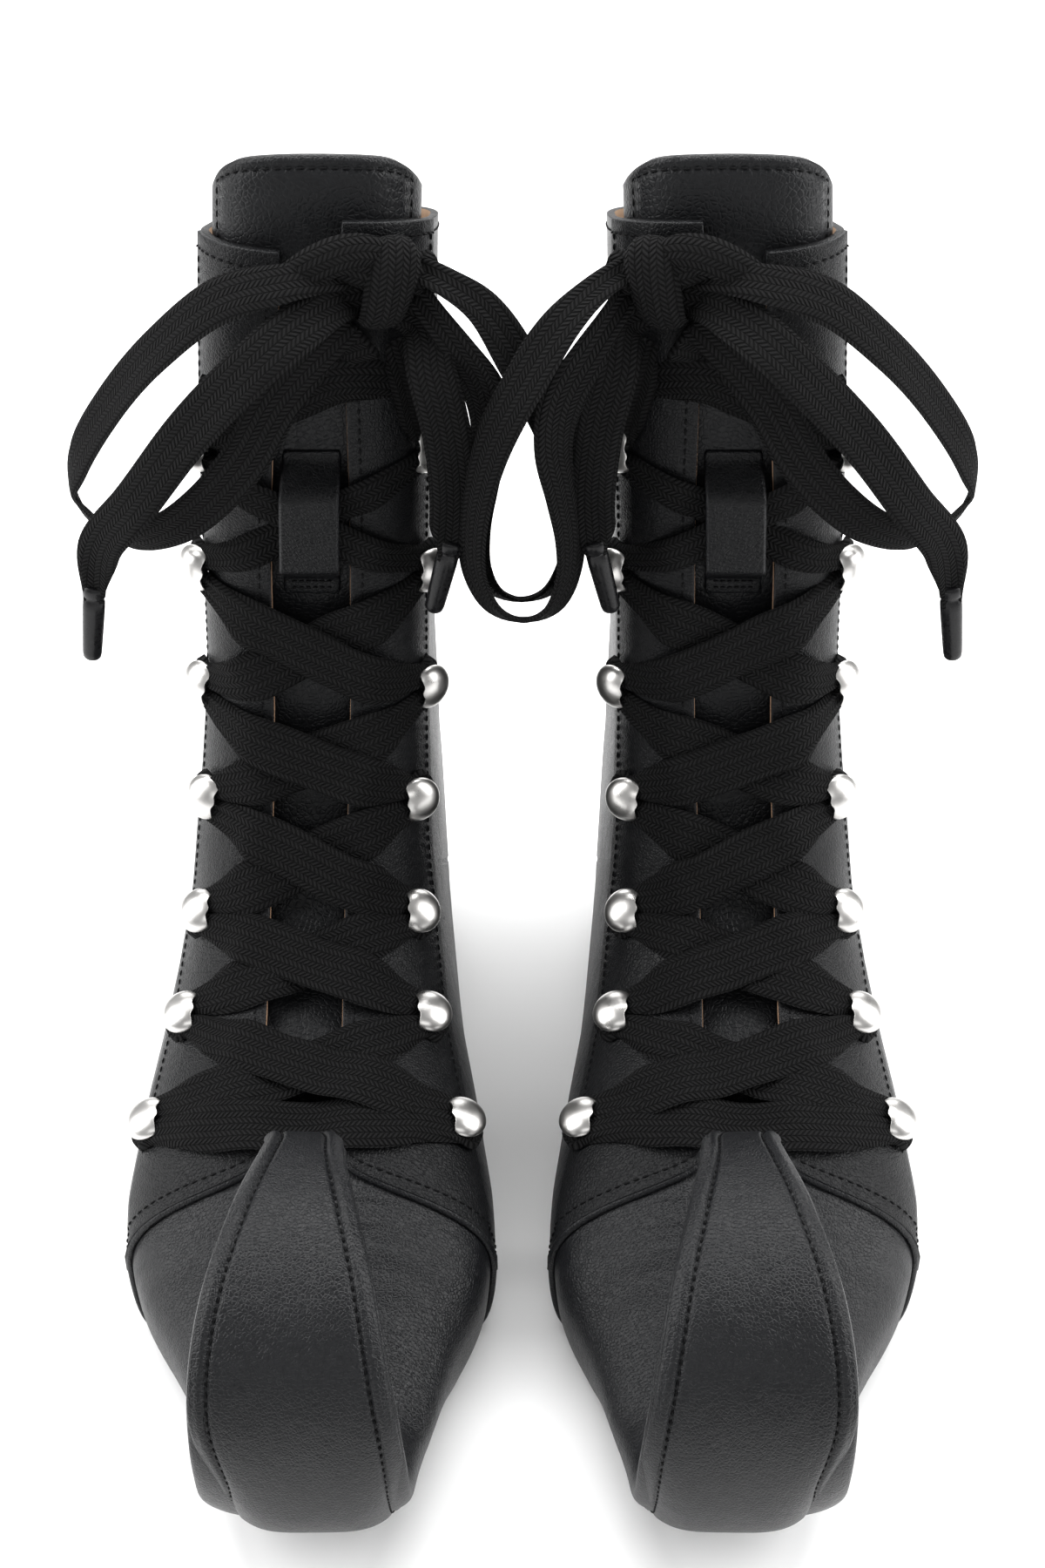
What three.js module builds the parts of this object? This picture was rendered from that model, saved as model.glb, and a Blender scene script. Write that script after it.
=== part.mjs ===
// A pair of high lace-up boxing boots with curled toes, standing side by side.
// Millimetres, +Z up, toes towards -Y. The origin is the middle of the pair on the floor.
import * as THREE from 'three';
import { mergeVertices } from 'three/addons/utils/BufferGeometryUtils.js';

// Overall sizes of one boot.
const FOOT_LENGTH = 294;          // back of the heel to the front of the toe curl
const BOOT_HEIGHT = 281.5;        // floor to the top of the tongue
const BOOT_SPACING = 109;         // centre line to centre line
const WIDTH_SCALE = 1;            // all half-widths of the upper

// Leather, sole and clearances.
const SOLE_THICKNESS = 3.6;
const INSOLE_THICKNESS = 2.4;
const LEATHER = 2;
const TONGUE_THICKNESS = 3.2;
const STRIP_THICKNESS = 1.8;
const GAP = 0.35;                 // running gap between neighbouring pieces
const LINING = 2;                 // room inside the upper before the tongue and the insole
const FACING_HALF_GAP = 10.5;     // centre line to the inner edge of a facing, below the top rows
const COLLAR_HALF_GAP = 7.5;      // the same at the collar
const OUTER_DIP = [0.3, 0.15];    // the outer quarter's collar is lower in front and at the side
const BACKSTAY_SPAN = 0.3;        // share of the rear quadrant that the back panel covers

// Toe curl: a circle that carries the outer face of the front strip.
const CURL_RADIUS = 46;
const CURL_END = 225;             // degrees from the bottom, round the front
const CURL_STEP = 25;
const STRIP_MARGIN = 1.2;         // the strip is this much narrower than the horn behind it, each side
const STRIP_CROWN = [2.2, 0];     // how far its edges roll back, under the toe and over the curl

// Speed hooks.
const HOOK = { base: 2.8, baseHeight: 0.5, neck: 1.9, underside: 3.6, dome: 6, height: 6.2 };
const HOOK_SEGMENTS = 8;

const KEEPER_SLACK = 3.2;         // room between the tongue's strap and the lace it holds

// Flat lace, its knot, its free tubes and the aglets.
const LACE = { halfWidth: 6, keptHalfWidth: 4.5, thickness: 1.5, low: 2.15, high: 4.4, atHook: 2.2 };
const WRAP = { radius: HOOK.neck + 2.2, halfWidth: 1.5 };
const KNOT = { halfWidth: 6, thickness: 8, height: 7.2, x: -16.1, top: 1.1, bottom: 1.85 };
const CORD_RADIUS = 1.8;
const AGLET = { radius: 3, length: 21.5 };
const INNER_LOOP_LEAD = 5;        // the two inner loops cross, one before the other

// The upper is a loft of sections that fan from the collar to the toe. Each section runs from p, its
// point on the front of the boot, to q, its point at the back or on the sole, both [forward, height
// above the sole]. half is its half-width, widest is where from p to q it is widest, sole is the
// half-width of its foot (0 where it closes behind the leg), front and rear are corner softness.
const STATIONS = [
  { p: [103, 277.55], q: [4, 247], half: 28.6, widest: 0.42, sole: 0, front: 0.55, rear: 0.85 },
  { p: [105, 264], q: [8, 231], half: 28.9, widest: 0.42, sole: 0, front: 0.55, rear: 0.85 },
  { p: [106, 236], q: [10, 214], half: 29.5, widest: 0.42, sole: 0, front: 0.55, rear: 0.85 },
  { p: [107, 204], q: [11, 196], half: 30, widest: 0.42, sole: 0, front: 0.55, rear: 0.85 },
  { p: [108, 168], q: [9, 166], half: 30.2, widest: 0.43, sole: 0, front: 0.55, rear: 0.85 },
  { p: [111, 132], q: [4, 128], half: 30.8, widest: 0.46, sole: 0, front: 0.56, rear: 0.85 },
  { p: [118, 106], q: [1, 52], half: 34.6, widest: 0.52, sole: 0, front: 0.6, rear: 0.85 },
  { p: [125, 91], q: [4, 0], half: 37, widest: 0.55, sole: 0, front: 0.6, rear: 0.8 },
  { p: [133, 78], q: [24, 0], half: 38, widest: 0.57, sole: 27, front: 0.62, rear: 0.75 },
  { p: [158, 63], q: [86, 0], half: 42.2, widest: 0.6, sole: 33, front: 0.75, rear: 0.75 },
  { p: [186, 52], q: [140, 0], half: 46.2, widest: 0.62, sole: 38, front: 0.8, rear: 0.75 },
  { p: [200, 45], q: [178, 0], half: 48.3, widest: 0.64, sole: 44, front: 0.85, rear: 0.75 },
  { p: [214, 38], q: [208, 0], half: 45.5, widest: 0.64, sole: 42, front: 0.85, rear: 0.75 },
  { p: [230, 30], q: [230, 0], half: 36.4, widest: 0.62, sole: 32, front: 0.85, rear: 0.75 },
];
const COLLAR = 1;
const ROW_STATIONS = [10, 9, 8, 6, 5, 4, 3];
const ROW_HALF_SPANS = [39.4, 31.7, 28.3, 26.8, 27.8, 27.3, 26.5];
const HEEL_STATION = 7;
const FACING_END = 10.35;         // station where the facings meet the vamp
const QUARTER_END = 12;           // station of the quarters' lower front corners
const SEAM_BOW = 2.8;             // how late the seam between them turns down to the sole
const TONGUE_BASE = 10.9;

// Half-width and leather thickness of the curl, by degrees round its circle.
const CURL_HALF_WIDTHS = [30, 26, 24.5, 24.2, 23.8, 22.4, 19.4, 14.9, 10.8, 9.6];
const CURL_DEPTHS = [23, 21, 16, 11, 7.6, 6.4, 6, 6, 6, 6];

// Sideways shift of the centre line, + towards the outer side: of the foot by distance forward, of the
// shaft by height, which leans inwards, and of the top of the curl.
const FOOT_LINE = [
  [0, 5.5], [60, 6], [120, 5.6], [150, 4.2], [185, 2.4], [205, 0.8], [230, -1.8], [250, -3.6], [294, -5],
];
const SHAFT_LINE = [[90, 3.8], [136, 1.4], [172, 0], [208, -1.8], [284, -6]];
const CURL_LEAN = -2.7;

// Free lace routes of one boot, chosen point by point: [outward, forward, height above the floor].
const OUTER_LOOP = [
  [-14.6, 111, 257.5], [0, 119, 259], [16, 117, 254], [32, 113, 240], [47, 106, 221], [57, 102, 205],
  [60, 100, 195], [55, 102, 187], [45, 109, 186], [33, 116, 193], [23, 119, 202], [13, 120, 214],
  [3, 119, 230], [-14.4, 111, 245.5],
];
const OUTER_END = [
  [-14.5, 111.5, 251.5], [-4, 122, 250.5], [6, 127, 244], [25, 123, 223], [41, 121, 202], [51, 116, 188],
  [55, 112, 173],
];
const INNER_LOOP = [
  [-30.3, 109, 258], [-35, 116, 258], [-45, 118, 250], [-54.5, 118, 235], [-63, 116, 216],
  [-67, 114, 196], [-66.5, 112, 180], [-61.5, 112, 170], [-54, 111, 166.5], [-47, 112, 170],
  [-43, 113, 180], [-42.5, 114, 192], [-44.5, 115, 205], [-46.5, 116, 218], [-45, 117, 230],
  [-39, 117, 241.5], [-30.2, 109.5, 252],
];
const INNER_END = [
  [-30.5, 110, 245.5], [-33, 118, 236], [-36, 119, 222], [-37.5, 117, 204], [-36.5, 115, 188],
];
const OUTER_AGLET_TILT = [4, -2, -26];
const INNER_AGLET_TILT = [6, -4, -26];

const leatherFinish = { color: 0x17181a, roughness: 0.42, metalness: 0 };
const finishes = {
  leather: leatherFinish,
  tongue: { color: 0x1b1c1f, roughness: 0.5, metalness: 0 },
  sole: { color: 0x101011, roughness: 0.7, metalness: 0 },
  sock: { color: 0x3a2f25, roughness: 0.85, metalness: 0 },
  lace: { color: 0x0d0d0f, roughness: 0.9, metalness: 0 },
  steel: { color: 0xc9ccd0, roughness: 0.16, metalness: 1 },
  plastic: { color: 0x0c0c0d, roughness: 0.3, metalness: 0 },
};

// ---------------------------------------------------------------- small maths

const lerp = THREE.MathUtils.lerp;
const smooth = THREE.MathUtils.smoothstep;
const point = (x, y, z) => new THREE.Vector3(x, y, z);

// Value at t of a smooth curve through numbers at 0, 1, 2 ...
function through(values, t) {
  const last = values.length - 1;
  const i = Math.min(Math.max(Math.floor(t), 0), last - 1);
  const [a, b] = [values[i], values[i + 1]];
  const before = i > 0 ? values[i - 1] : 2 * a - b;
  const after = i < last - 1 ? values[i + 2] : 2 * b - a;
  const u = t - i;
  const slopeA = (b - before) / 2;
  const slopeB = (after - a) / 2;
  return ((2 * u - 3) * u * u + 1) * a + ((u - 2) * u + 1) * u * slopeA
    + (3 - 2 * u) * u * u * b + (u - 1) * u * u * slopeB;
}

// ---------------------------------------------------------------- the boot's surface

const STRETCH = (FOOT_LENGTH - 2 * CURL_RADIUS) / (294 - 2 * CURL_RADIUS);
const RISE = (BOOT_HEIGHT - SOLE_THICKNESS - GAP) / STATIONS[0].p[1];
const UPPER_BASE = SOLE_THICKNESS + GAP;
const CURL_CENTRE = [FOOT_LENGTH - CURL_RADIUS, CURL_RADIUS + SOLE_THICKNESS + GAP];

// A place on the curl's plane: distance from the circle's centre, and degrees from its bottom.
function onCurl(radius, degrees) {
  const angle = THREE.MathUtils.degToRad(degrees);
  return [CURL_CENTRE[0] + radius * Math.sin(angle), CURL_CENTRE[1] - radius * Math.cos(angle)];
}

// All sections: the listed ones at their real size, then those of the curl.
const UNDER_STRIP = CURL_RADIUS - STRIP_THICKNESS - GAP;
const sections = STATIONS.map((station) => ({
  ...station,
  p: [station.p[0] * STRETCH, UPPER_BASE + station.p[1] * RISE],
  q: [station.q[0] * STRETCH, UPPER_BASE + station.q[1] * RISE],
  half: station.half * WIDTH_SCALE,
  sole: station.sole * WIDTH_SCALE,
}));
CURL_HALF_WIDTHS.forEach((half, i) => {
  const degrees = i * CURL_STEP;
  const thin = smooth(degrees, 30, 90);
  sections.push({
    p: onCurl(CURL_RADIUS - CURL_DEPTHS[i], degrees),
    q: onCurl(UNDER_STRIP - lerp(0.8, 0, thin), degrees),
    half: half * WIDTH_SCALE,
    widest: 0.55,
    sole: half * WIDTH_SCALE - lerp(16, 4.5, thin),
    front: 0.7,
    rear: lerp(1, 0.7, thin),
  });
});
const CURL_STATION = STATIONS.length;
const TIP = sections.length - 1;
const column = (key, index) => sections.map((s) => (index === undefined ? s[key] : s[key][index]));
const table = {
  pf: column('p', 0), pz: column('p', 1), qf: column('q', 0), qz: column('q', 1),
  half: column('half'), widest: column('widest'), sole: column('sole'),
  front: column('front'), rear: column('rear'),
};

// The section at station s, all its values.
function sectionAt(s) {
  const at = {};
  for (const key of Object.keys(table)) at[key] = through(table[key], s);
  at.sole = s <= HEEL_STATION ? 0 : Math.max(at.sole, 0);
  return at;
}

// Straight-line value at t of a list of [t, value] stops.
function between(stops, t) {
  let i = 0;
  while (i < stops.length - 2 && t > stops[i + 1][0]) i += 1;
  const [[t0, v0], [t1, v1]] = [stops[i], stops[i + 1]];
  return lerp(v0, v1, THREE.MathUtils.clamp((t - t0) / (t1 - t0), 0, 1));
}

// Sideways shift of the centre line at a place.
function centreLine(forward, height) {
  const f = forward / STRETCH;
  const h = height / RISE;
  const toe = smooth(f, 195, 225);
  const high = lerp(between(SHAFT_LINE, h), CURL_LEAN, toe);
  return lerp(between(FOOT_LINE, f), high, smooth(h, lerp(20, 45, toe), lerp(110, 90, toe)));
}

// A point of the upper. a runs from 0 at the front through 1 at the widest place to 2 at the back or
// the sole, and is negative on the inner side. inset moves the point into the leather.
function surface(s, a, inset = 0) {
  const at = sectionAt(s);
  const side = Math.sign(a) || 1;
  const t = Math.min(Math.abs(a), 2);
  const length = Math.hypot(at.qf - at.pf, at.qz - at.pz);
  const closed = 1 - smooth(at.sole, 0, 8);
  const from = inset / length;
  const to = 1 - (inset * closed) / length;
  const half = at.half - inset;
  const sole = Math.max(at.sole - inset * (1 - closed), 0);
  const angle = ((t <= 1 ? t : t - 1) * Math.PI) / 2;
  const [rise, fall] = [Math.abs(Math.sin(angle)), Math.abs(Math.cos(angle))];
  let x;
  let v;
  if (t <= 1) {
    x = half * rise ** at.front;
    v = lerp(from, at.widest, 1 - fall ** at.front);
  } else {
    x = sole + (half - sole) * fall ** at.rear;
    v = lerp(at.widest, to, rise ** at.rear);
  }
  const forward = lerp(at.pf, at.qf, v);
  const height = Math.max(lerp(at.pz, at.qz, v), UPPER_BASE);
  return point(side * x + centreLine(forward, height), forward, height);
}

// The parameter a at which a section is x wide, on its front quadrant.
function paramAt(s, x) {
  const at = sectionAt(s);
  const ratio = Math.min(Math.abs(x) / at.half, 0.999);
  return (Math.sign(x) * 2 * Math.asin(ratio ** (1 / at.front))) / Math.PI;
}

// Directions of the surface at a place: outwards along a, downwards along s, and off the leather.
function frameAt(s, a) {
  const step = 0.01;
  const centre = surface(s, a);
  const across = surface(s, a + step).sub(surface(s, a - step)).multiplyScalar(1 / (2 * step));
  const down = surface(s + step, a).sub(surface(s - step, a)).multiplyScalar(1 / (2 * step));
  const normal = across.clone().cross(down).normalize();
  if (normal.dot(surface(s, a).sub(surface(s, a, 2))) < 0) normal.negate();
  return { centre, across, down, normal };
}

// ---------------------------------------------------------------- solids

function solid(points, triangles) {
  const geometry = new THREE.BufferGeometry();
  geometry.setAttribute('position', new THREE.Float32BufferAttribute(points.flatMap((p) => [p.x, p.y, p.z]), 3));
  let volume = 0;
  for (const [a, b, c] of triangles) volume += points[a].dot(points[b].clone().cross(points[c]));
  const out = volume >= 0 ? triangles : triangles.map(([a, b, c]) => [a, c, b]);
  geometry.setIndex(out.flat());
  return mergeVertices(geometry, 1e-3);
}

// A closed slab between two faces, each a function of u and v from 0 to 1.
function slab(rows, columns, outerFace, innerFace) {
  const points = [];
  for (const face of [outerFace, innerFace]) {
    for (let i = 0; i <= rows; i += 1) {
      for (let j = 0; j <= columns; j += 1) points.push(face(i / rows, j / columns));
    }
  }
  const inner = (rows + 1) * (columns + 1);
  const id = (i, j, layer) => layer * inner + i * (columns + 1) + j;
  const triangles = [];
  const quad = (a, b, c, d) => triangles.push([a, b, c], [a, c, d]);
  for (let i = 0; i < rows; i += 1) {
    for (let j = 0; j < columns; j += 1) {
      quad(id(i, j, 0), id(i, j + 1, 0), id(i + 1, j + 1, 0), id(i + 1, j, 0));
      quad(id(i, j, 1), id(i + 1, j, 1), id(i + 1, j + 1, 1), id(i, j + 1, 1));
    }
  }
  for (let i = 0; i < rows; i += 1) {
    quad(id(i, 0, 0), id(i + 1, 0, 0), id(i + 1, 0, 1), id(i, 0, 1));
    quad(id(i + 1, columns, 0), id(i, columns, 0), id(i, columns, 1), id(i + 1, columns, 1));
  }
  for (let j = 0; j < columns; j += 1) {
    quad(id(0, j + 1, 0), id(0, j, 0), id(0, j, 1), id(0, j + 1, 1));
    quad(id(rows, j, 0), id(rows, j + 1, 0), id(rows, j + 1, 1), id(rows, j, 1));
  }
  return solid(points, triangles);
}

// A solid swept through rings of equal size, with flat ends.
function tube(rings) {
  const size = rings[0].length;
  const points = rings.flat();
  const triangles = [];
  for (let i = 0; i < rings.length - 1; i += 1) {
    for (let j = 0; j < size; j += 1) {
      const k = (j + 1) % size;
      triangles.push([i * size + j, i * size + k, (i + 1) * size + k]);
      triangles.push([i * size + j, (i + 1) * size + k, (i + 1) * size + j]);
    }
  }
  const end = (rings.length - 1) * size;
  for (let j = 1; j < size - 1; j += 1) {
    triangles.push([0, j + 1, j], [end, end + j, end + j + 1]);
  }
  return solid(points, triangles);
}

// ---------------------------------------------------------------- leather pieces

// A panel of the upper: place(u, v) gives [station, a]; inset, to its outer face, and thickness are
// functions of the station.
function panel(rows, columns, place, inset, thickness) {
  const face = (depth) => (u, v) => {
    const [s, a] = place(u, v);
    return surface(s, a, depth(s));
  };
  return slab(rows, columns, face(inset), face((s) => inset(s) + thickness(s)));
}

// How far a changes over a gap's width at a place.
function gapAt(s, a, width) {
  return width / frameAt(s, a).across.length();
}

// Centre line to the inner edge of a facing at a station.
const facingGap = (s) => lerp(COLLAR_HALF_GAP, FACING_HALF_GAP, smooth(s, COLLAR, 4));

// Edge of the vamp under the quarters: a Λ from the facings' ends to the quarters' lower corners.
function vampEdge(s) {
  const start = paramAt(FACING_END, FACING_HALF_GAP);
  const along = THREE.MathUtils.clamp((s - FACING_END) / (QUARTER_END - FACING_END), 0, 1);
  return lerp(start, 2, along ** SEAM_BOW);
}

const SEAM_STEPS = 5;
const seamRows = Array.from({ length: SEAM_STEPS + 1 }, (_, i) => (
  lerp(FACING_END, QUARTER_END, i / SEAM_STEPS)));

// Edge of the back panel beside a quarter.
function backstayEdge(s) {
  return 2 - BACKSTAY_SPAN - 0.12 * smooth(s, 4, 6);
}

// A quarter: collar to sole, backstay to facing, in two runs, above and below the heel's corner.
function quarter(side) {
  const below = HEEL_STATION + 0.1;
  const runs = [COLLAR, 2, 3, 4, 5, 6, 6.5, HEEL_STATION, below, 7.6, 8, 8.5, 9, 9.5, 10, ...seamRows];
  const front = (s) => (s <= FACING_END
    ? paramAt(s, facingGap(s)) : Math.min(vampEdge(s), 1.96));
  const back = (s) => (s <= HEEL_STATION ? backstayEdge(s) - gapAt(s, 1.7, GAP * 2) : 2);
  const dip = (v) => (
    side > 0 ? lerp(...OUTER_DIP, Math.min(v * 2.5, 1)) * (1 - v ** 3) : 0);
  const place = (u, v) => {
    const s = u === 0 ? COLLAR + dip(v) : runs[Math.round(u * (runs.length - 1))];
    return [s, side * lerp(front(s), back(s), v)];
  };
  return panel(runs.length - 1, 7, place, () => 0, () => LEATHER);
}

function heelCounter() {
  const place = (u, v) => {
    const s = lerp(COLLAR, HEEL_STATION - 0.03, u);
    const a = lerp(-1, 1, v) * (2 - backstayEdge(s));
    return [s, a >= 0 ? 2 - a : -(2 + a)];
  };
  return panel(10, 6, place, () => 0, () => LEATHER);
}

function vamp() {
  const toeSteps = 14;
  const runs = [...seamRows];
  for (let i = 0; i <= toeSteps; i += 1) runs.push(lerp(QUARTER_END + 0.08, TIP, i / toeSteps));
  const place = (u, v) => {
    const s = runs[Math.round(u * (runs.length - 1))];
    const edge = s <= QUARTER_END ? vampEdge(s) - gapAt(s, 1.2, GAP * 2.5) : 2;
    return [s, lerp(-1, 1, v) * edge];
  };
  const depth = (s) => lerp(LEATHER, 1.5, smooth(s, CURL_STATION, CURL_STATION + 3));
  return panel(runs.length - 1, 14, place, () => 0, depth);
}

// Strip up the front of the toe and over its curl.
function toeCurl() {
  const halfWidth = (degrees) => (
    through(CURL_HALF_WIDTHS, degrees / CURL_STEP) * WIDTH_SCALE - STRIP_MARGIN);
  const face = (radius) => (u, v) => {
    const degrees = lerp(0, CURL_END + 2, u);
    const across = lerp(-1, 1, v);
    const crown = lerp(...STRIP_CROWN, smooth(degrees, 30, 90)) * Math.abs(across) ** 6;
    const [forward, height] = onCurl(radius - crown, degrees);
    const x = across * halfWidth(Math.min(degrees, CURL_END));
    return point(x + centreLine(...onCurl(CURL_RADIUS, degrees)), forward, height);
  };
  return slab(18, 8, face(CURL_RADIUS), face(CURL_RADIUS - STRIP_THICKNESS));
}

// Rounded top of the tongue: its corners drop below the middle.
function tongue() {
  const inset = (s) => LEATHER + 2 * GAP + LINING * smooth(s, COLLAR, COLLAR + 1.6);
  const place = (u, v) => {
    const across = lerp(-1, 1, v);
    const top = 0.75 * Math.abs(across) ** 6;
    const s = lerp(top, TONGUE_BASE, u);
    const half = 26.6 - 2 * smooth(s, COLLAR, 3) - 7 * smooth(s, 5, TONGUE_BASE);
    return [s, across * paramAt(s, half * WIDTH_SCALE)];
  };
  return panel(16, 8, place, inset, () => TONGUE_THICKNESS);
}

// Strap on the tongue, bowed over the lace crossing between the two rows it spans.
function tongueKeeper() {
  const [from, to, half] = [ROW_STATIONS[6] + 0.02, ROW_STATIONS[5] + 0.1, 6.7];
  const seat = LEATHER + LINING;
  const lift = seat + LACE.high + LACE.thickness / 2 + KEEPER_SLACK;
  const bow = (u) => seat - lift * smooth(u, 0.03, 0.2) * (1 - smooth(u, 0.74, 0.9));
  const face = (thickness) => (u, v) => {
    const s = lerp(from, to, u);
    return surface(s, paramAt(s, lerp(-half, half, v)), bow(u) - thickness);
  };
  return slab(12, 2, face(LEATHER * 0.8), face(0));
}

// ---------------------------------------------------------------- sole

// Half-width of the foot at the sole, by distance forward, from the heel.
function soleOutline(inset) {
  const outline = [];
  for (let s = HEEL_STATION; s <= CURL_STATION; s += 0.5) {
    const at = sectionAt(s);
    outline.push([at.qf, Math.max(at.sole - inset, 0)]);
  }
  const heel = outline[0][0] + inset;
  outline.shift();
  const [firstF, firstX] = outline[0];
  const arc = [];
  for (let i = 0; i <= 4; i += 1) {
    const angle = (i * Math.PI) / 8;
    arc.push([lerp(firstF, heel, Math.cos(angle)), firstX * Math.sin(angle)]);
  }
  return [...arc, ...outline.slice(1)];
}

// A flat sheet with the foot's outline.
function soleSheet(inset, thickness) {
  const outline = soleOutline(inset).filter(([f]) => f <= CURL_CENTRE[0] - inset * 4);
  const right = outline.map(([f, x]) => new THREE.Vector2(x + centreLine(f, 0), f));
  const left = outline.slice(1).reverse().map(([f, x]) => new THREE.Vector2(-x + centreLine(f, 0), f));
  const shape = new THREE.Shape([...right, ...left]);
  const geometry = new THREE.ExtrudeGeometry(shape, { depth: thickness, bevelEnabled: false });
  geometry.deleteAttribute('normal');
  geometry.deleteAttribute('uv');
  return mergeVertices(geometry, 1e-3);
}

// ---------------------------------------------------------------- hooks and lace

function hook() {
  const profile = [
    [0, GAP], [HOOK.base, GAP], [HOOK.base, GAP + HOOK.baseHeight], [HOOK.neck, GAP + HOOK.baseHeight],
    [HOOK.neck, HOOK.underside], [HOOK.dome, HOOK.underside], [HOOK.dome * 0.8, HOOK.height - 0.9],
    [0, HOOK.height],
  ].map(([r, h]) => new THREE.Vector2(r, h));
  const geometry = new THREE.LatheGeometry(profile, HOOK_SEGMENTS);
  geometry.deleteAttribute('normal');
  geometry.deleteAttribute('uv');
  return mergeVertices(geometry, 1e-3);
}

function hookPlace(row, side) {
  const s = ROW_STATIONS[row];
  return [s, paramAt(s, side * ROW_HALF_SPANS[row] * WIDTH_SCALE)];
}

// Stops of the lace near a hook, round the outside of its neck, from the row above to the row below.
function wrapStops(row, side) {
  const [s, a] = hookPlace(row, side);
  const { centre, across, down, normal } = frameAt(s, a);
  const outwards = across.clone().multiplyScalar(side).normalize();
  const downwards = down.clone().addScaledVector(outwards, -down.dot(outwards)).normalize();
  return [-110, -55, 0, 55, 110].map((degrees) => {
    const angle = THREE.MathUtils.degToRad(degrees);
    const outward = WRAP.radius * Math.cos(angle);
    const lower = WRAP.radius * Math.sin(angle);
    const position = centre.clone().addScaledVector(outwards, outward)
      .addScaledVector(downwards, lower).addScaledVector(normal, LACE.atHook);
    return {
      s: s + lower / down.length(),
      a: a + (side * outward) / across.length(),
      height: LACE.atHook,
      half: WRAP.halfWidth,
      thickness: LACE.thickness,
      position,
      normal,
    };
  });
}

// Stops between two hooks. Over the middle the lace lies flat and wide, and one strand passes over.
function crossingStops(from, to, over, middleHalf) {
  const stops = [];
  for (const u of [0.15, 0.3, 0.42, 0.58, 0.7, 0.85]) {
    const middle = 1 - Math.abs(2 * u - 1);
    const raised = smooth(middle, 0.3, 0.62);
    stops.push({
      s: lerp(from.s, to.s, u),
      a: lerp(from.a, to.a, u),
      height: lerp(LACE.atHook, over ? LACE.high : LACE.low, raised),
      half: lerp(WRAP.halfWidth, middleHalf, smooth(middle, 0.2, 0.72)),
      thickness: LACE.thickness,
    });
  }
  return stops;
}

// The lace from the knot down one zigzag, across the bottom row and up the other.
function laceStops() {
  const top = ROW_STATIONS.length - 1;
  const knotStop = (station, shift, half, thickness, height) => ({
    s: station, a: paramAt(station, KNOT.x + shift), height, half, thickness,
  });
  const stops = [
    knotStop(KNOT.top, 0, KNOT.halfWidth, KNOT.thickness, KNOT.height),
    knotStop((KNOT.top + KNOT.bottom) / 2, 0, KNOT.halfWidth, KNOT.thickness, KNOT.height),
    knotStop(KNOT.bottom, 0, KNOT.halfWidth, KNOT.thickness, KNOT.height),
    knotStop(KNOT.bottom + 0.1, 3.5, WRAP.halfWidth + 1, LACE.thickness, LACE.high),
  ];
  const runs = [];
  for (let row = top; row >= 0; row -= 1) runs.push([row, (top - row) % 2 === 0 ? 1 : -1, true]);
  for (let row = 0; row <= top; row += 1) runs.push([row, (top - row) % 2 === 0 ? -1 : 1, false]);
  runs.forEach(([row, side, downwards]) => {
    const wrap = wrapStops(row, side);
    const next = downwards ? wrap : wrap.reverse();
    const last = stops[stops.length - 1];
    const over = downwards ? side < 0 : side > 0;
    const kept = downwards ? row === top - 1 : row === top;
    const middleHalf = kept ? LACE.keptHalfWidth : LACE.halfWidth;
    stops.push(...crossingStops(last, next[0], over, middleHalf), ...next);
  });
  const last = stops[stops.length - 1];
  const end = knotStop(KNOT.bottom + 0.12, -3.5, WRAP.halfWidth + 1, LACE.thickness, LACE.high);
  stops.push(...[0.3, 0.65, 1].map((u) => ({
    s: lerp(last.s, end.s, u),
    a: lerp(last.a, end.a, u),
    height: lerp(last.height, end.height, u),
    half: lerp(last.half, end.half, u),
    thickness: LACE.thickness,
  })));
  return stops;
}

// The flat ribbon through the stops, lying on the leather.
function lacing() {
  const stops = laceStops();
  const centres = stops.map((stop) => {
    if (stop.position) return stop;
    const { centre, normal } = frameAt(stop.s, stop.a);
    return { position: centre.addScaledVector(normal, stop.height), normal };
  });
  const rings = stops.map((stop, i) => {
    const before = centres[Math.max(i - 1, 0)].position;
    const after = centres[Math.min(i + 1, stops.length - 1)].position;
    const along = after.clone().sub(before).normalize();
    const { position, normal } = centres[i];
    const width = along.clone().cross(normal).normalize().multiplyScalar(stop.half);
    const up = width.clone().cross(along).normalize().multiplyScalar(stop.thickness / 2);
    return [[-1, -1], [1, -1], [1, 1], [-1, 1]].map(([w, h]) => (
      position.clone().addScaledVector(width, w).addScaledVector(up, h)));
  });
  return tube(rings);
}

// A round stand-in for a free stretch of the lace.
function cordTube(route, steps) {
  const curve = new THREE.CatmullRomCurve3(route, false, 'centripetal');
  const sides = 8;
  const ring = new THREE.Shape();
  for (let i = 0; i < sides; i += 1) {
    const angle = (2 * Math.PI * i) / sides;
    const [x, y] = [CORD_RADIUS * Math.cos(angle), CORD_RADIUS * Math.sin(angle)];
    if (i === 0) ring.moveTo(x, y);
    else ring.lineTo(x, y);
  }
  ring.closePath();
  const geometry = new THREE.ExtrudeGeometry(ring, { steps, extrudePath: curve, curveSegments: 1 });
  geometry.deleteAttribute('normal');
  geometry.deleteAttribute('uv');
  return mergeVertices(geometry, 1e-3);
}

const routeOf = (list) => list.map(([x, forward, height]) => point(x, forward, height));

// ---------------------------------------------------------------- assembly

function mesh(name, geometry, finish) {
  const result = new THREE.Mesh(geometry, new THREE.MeshStandardMaterial(finishes[finish]));
  result.name = name;
  return result;
}

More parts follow.
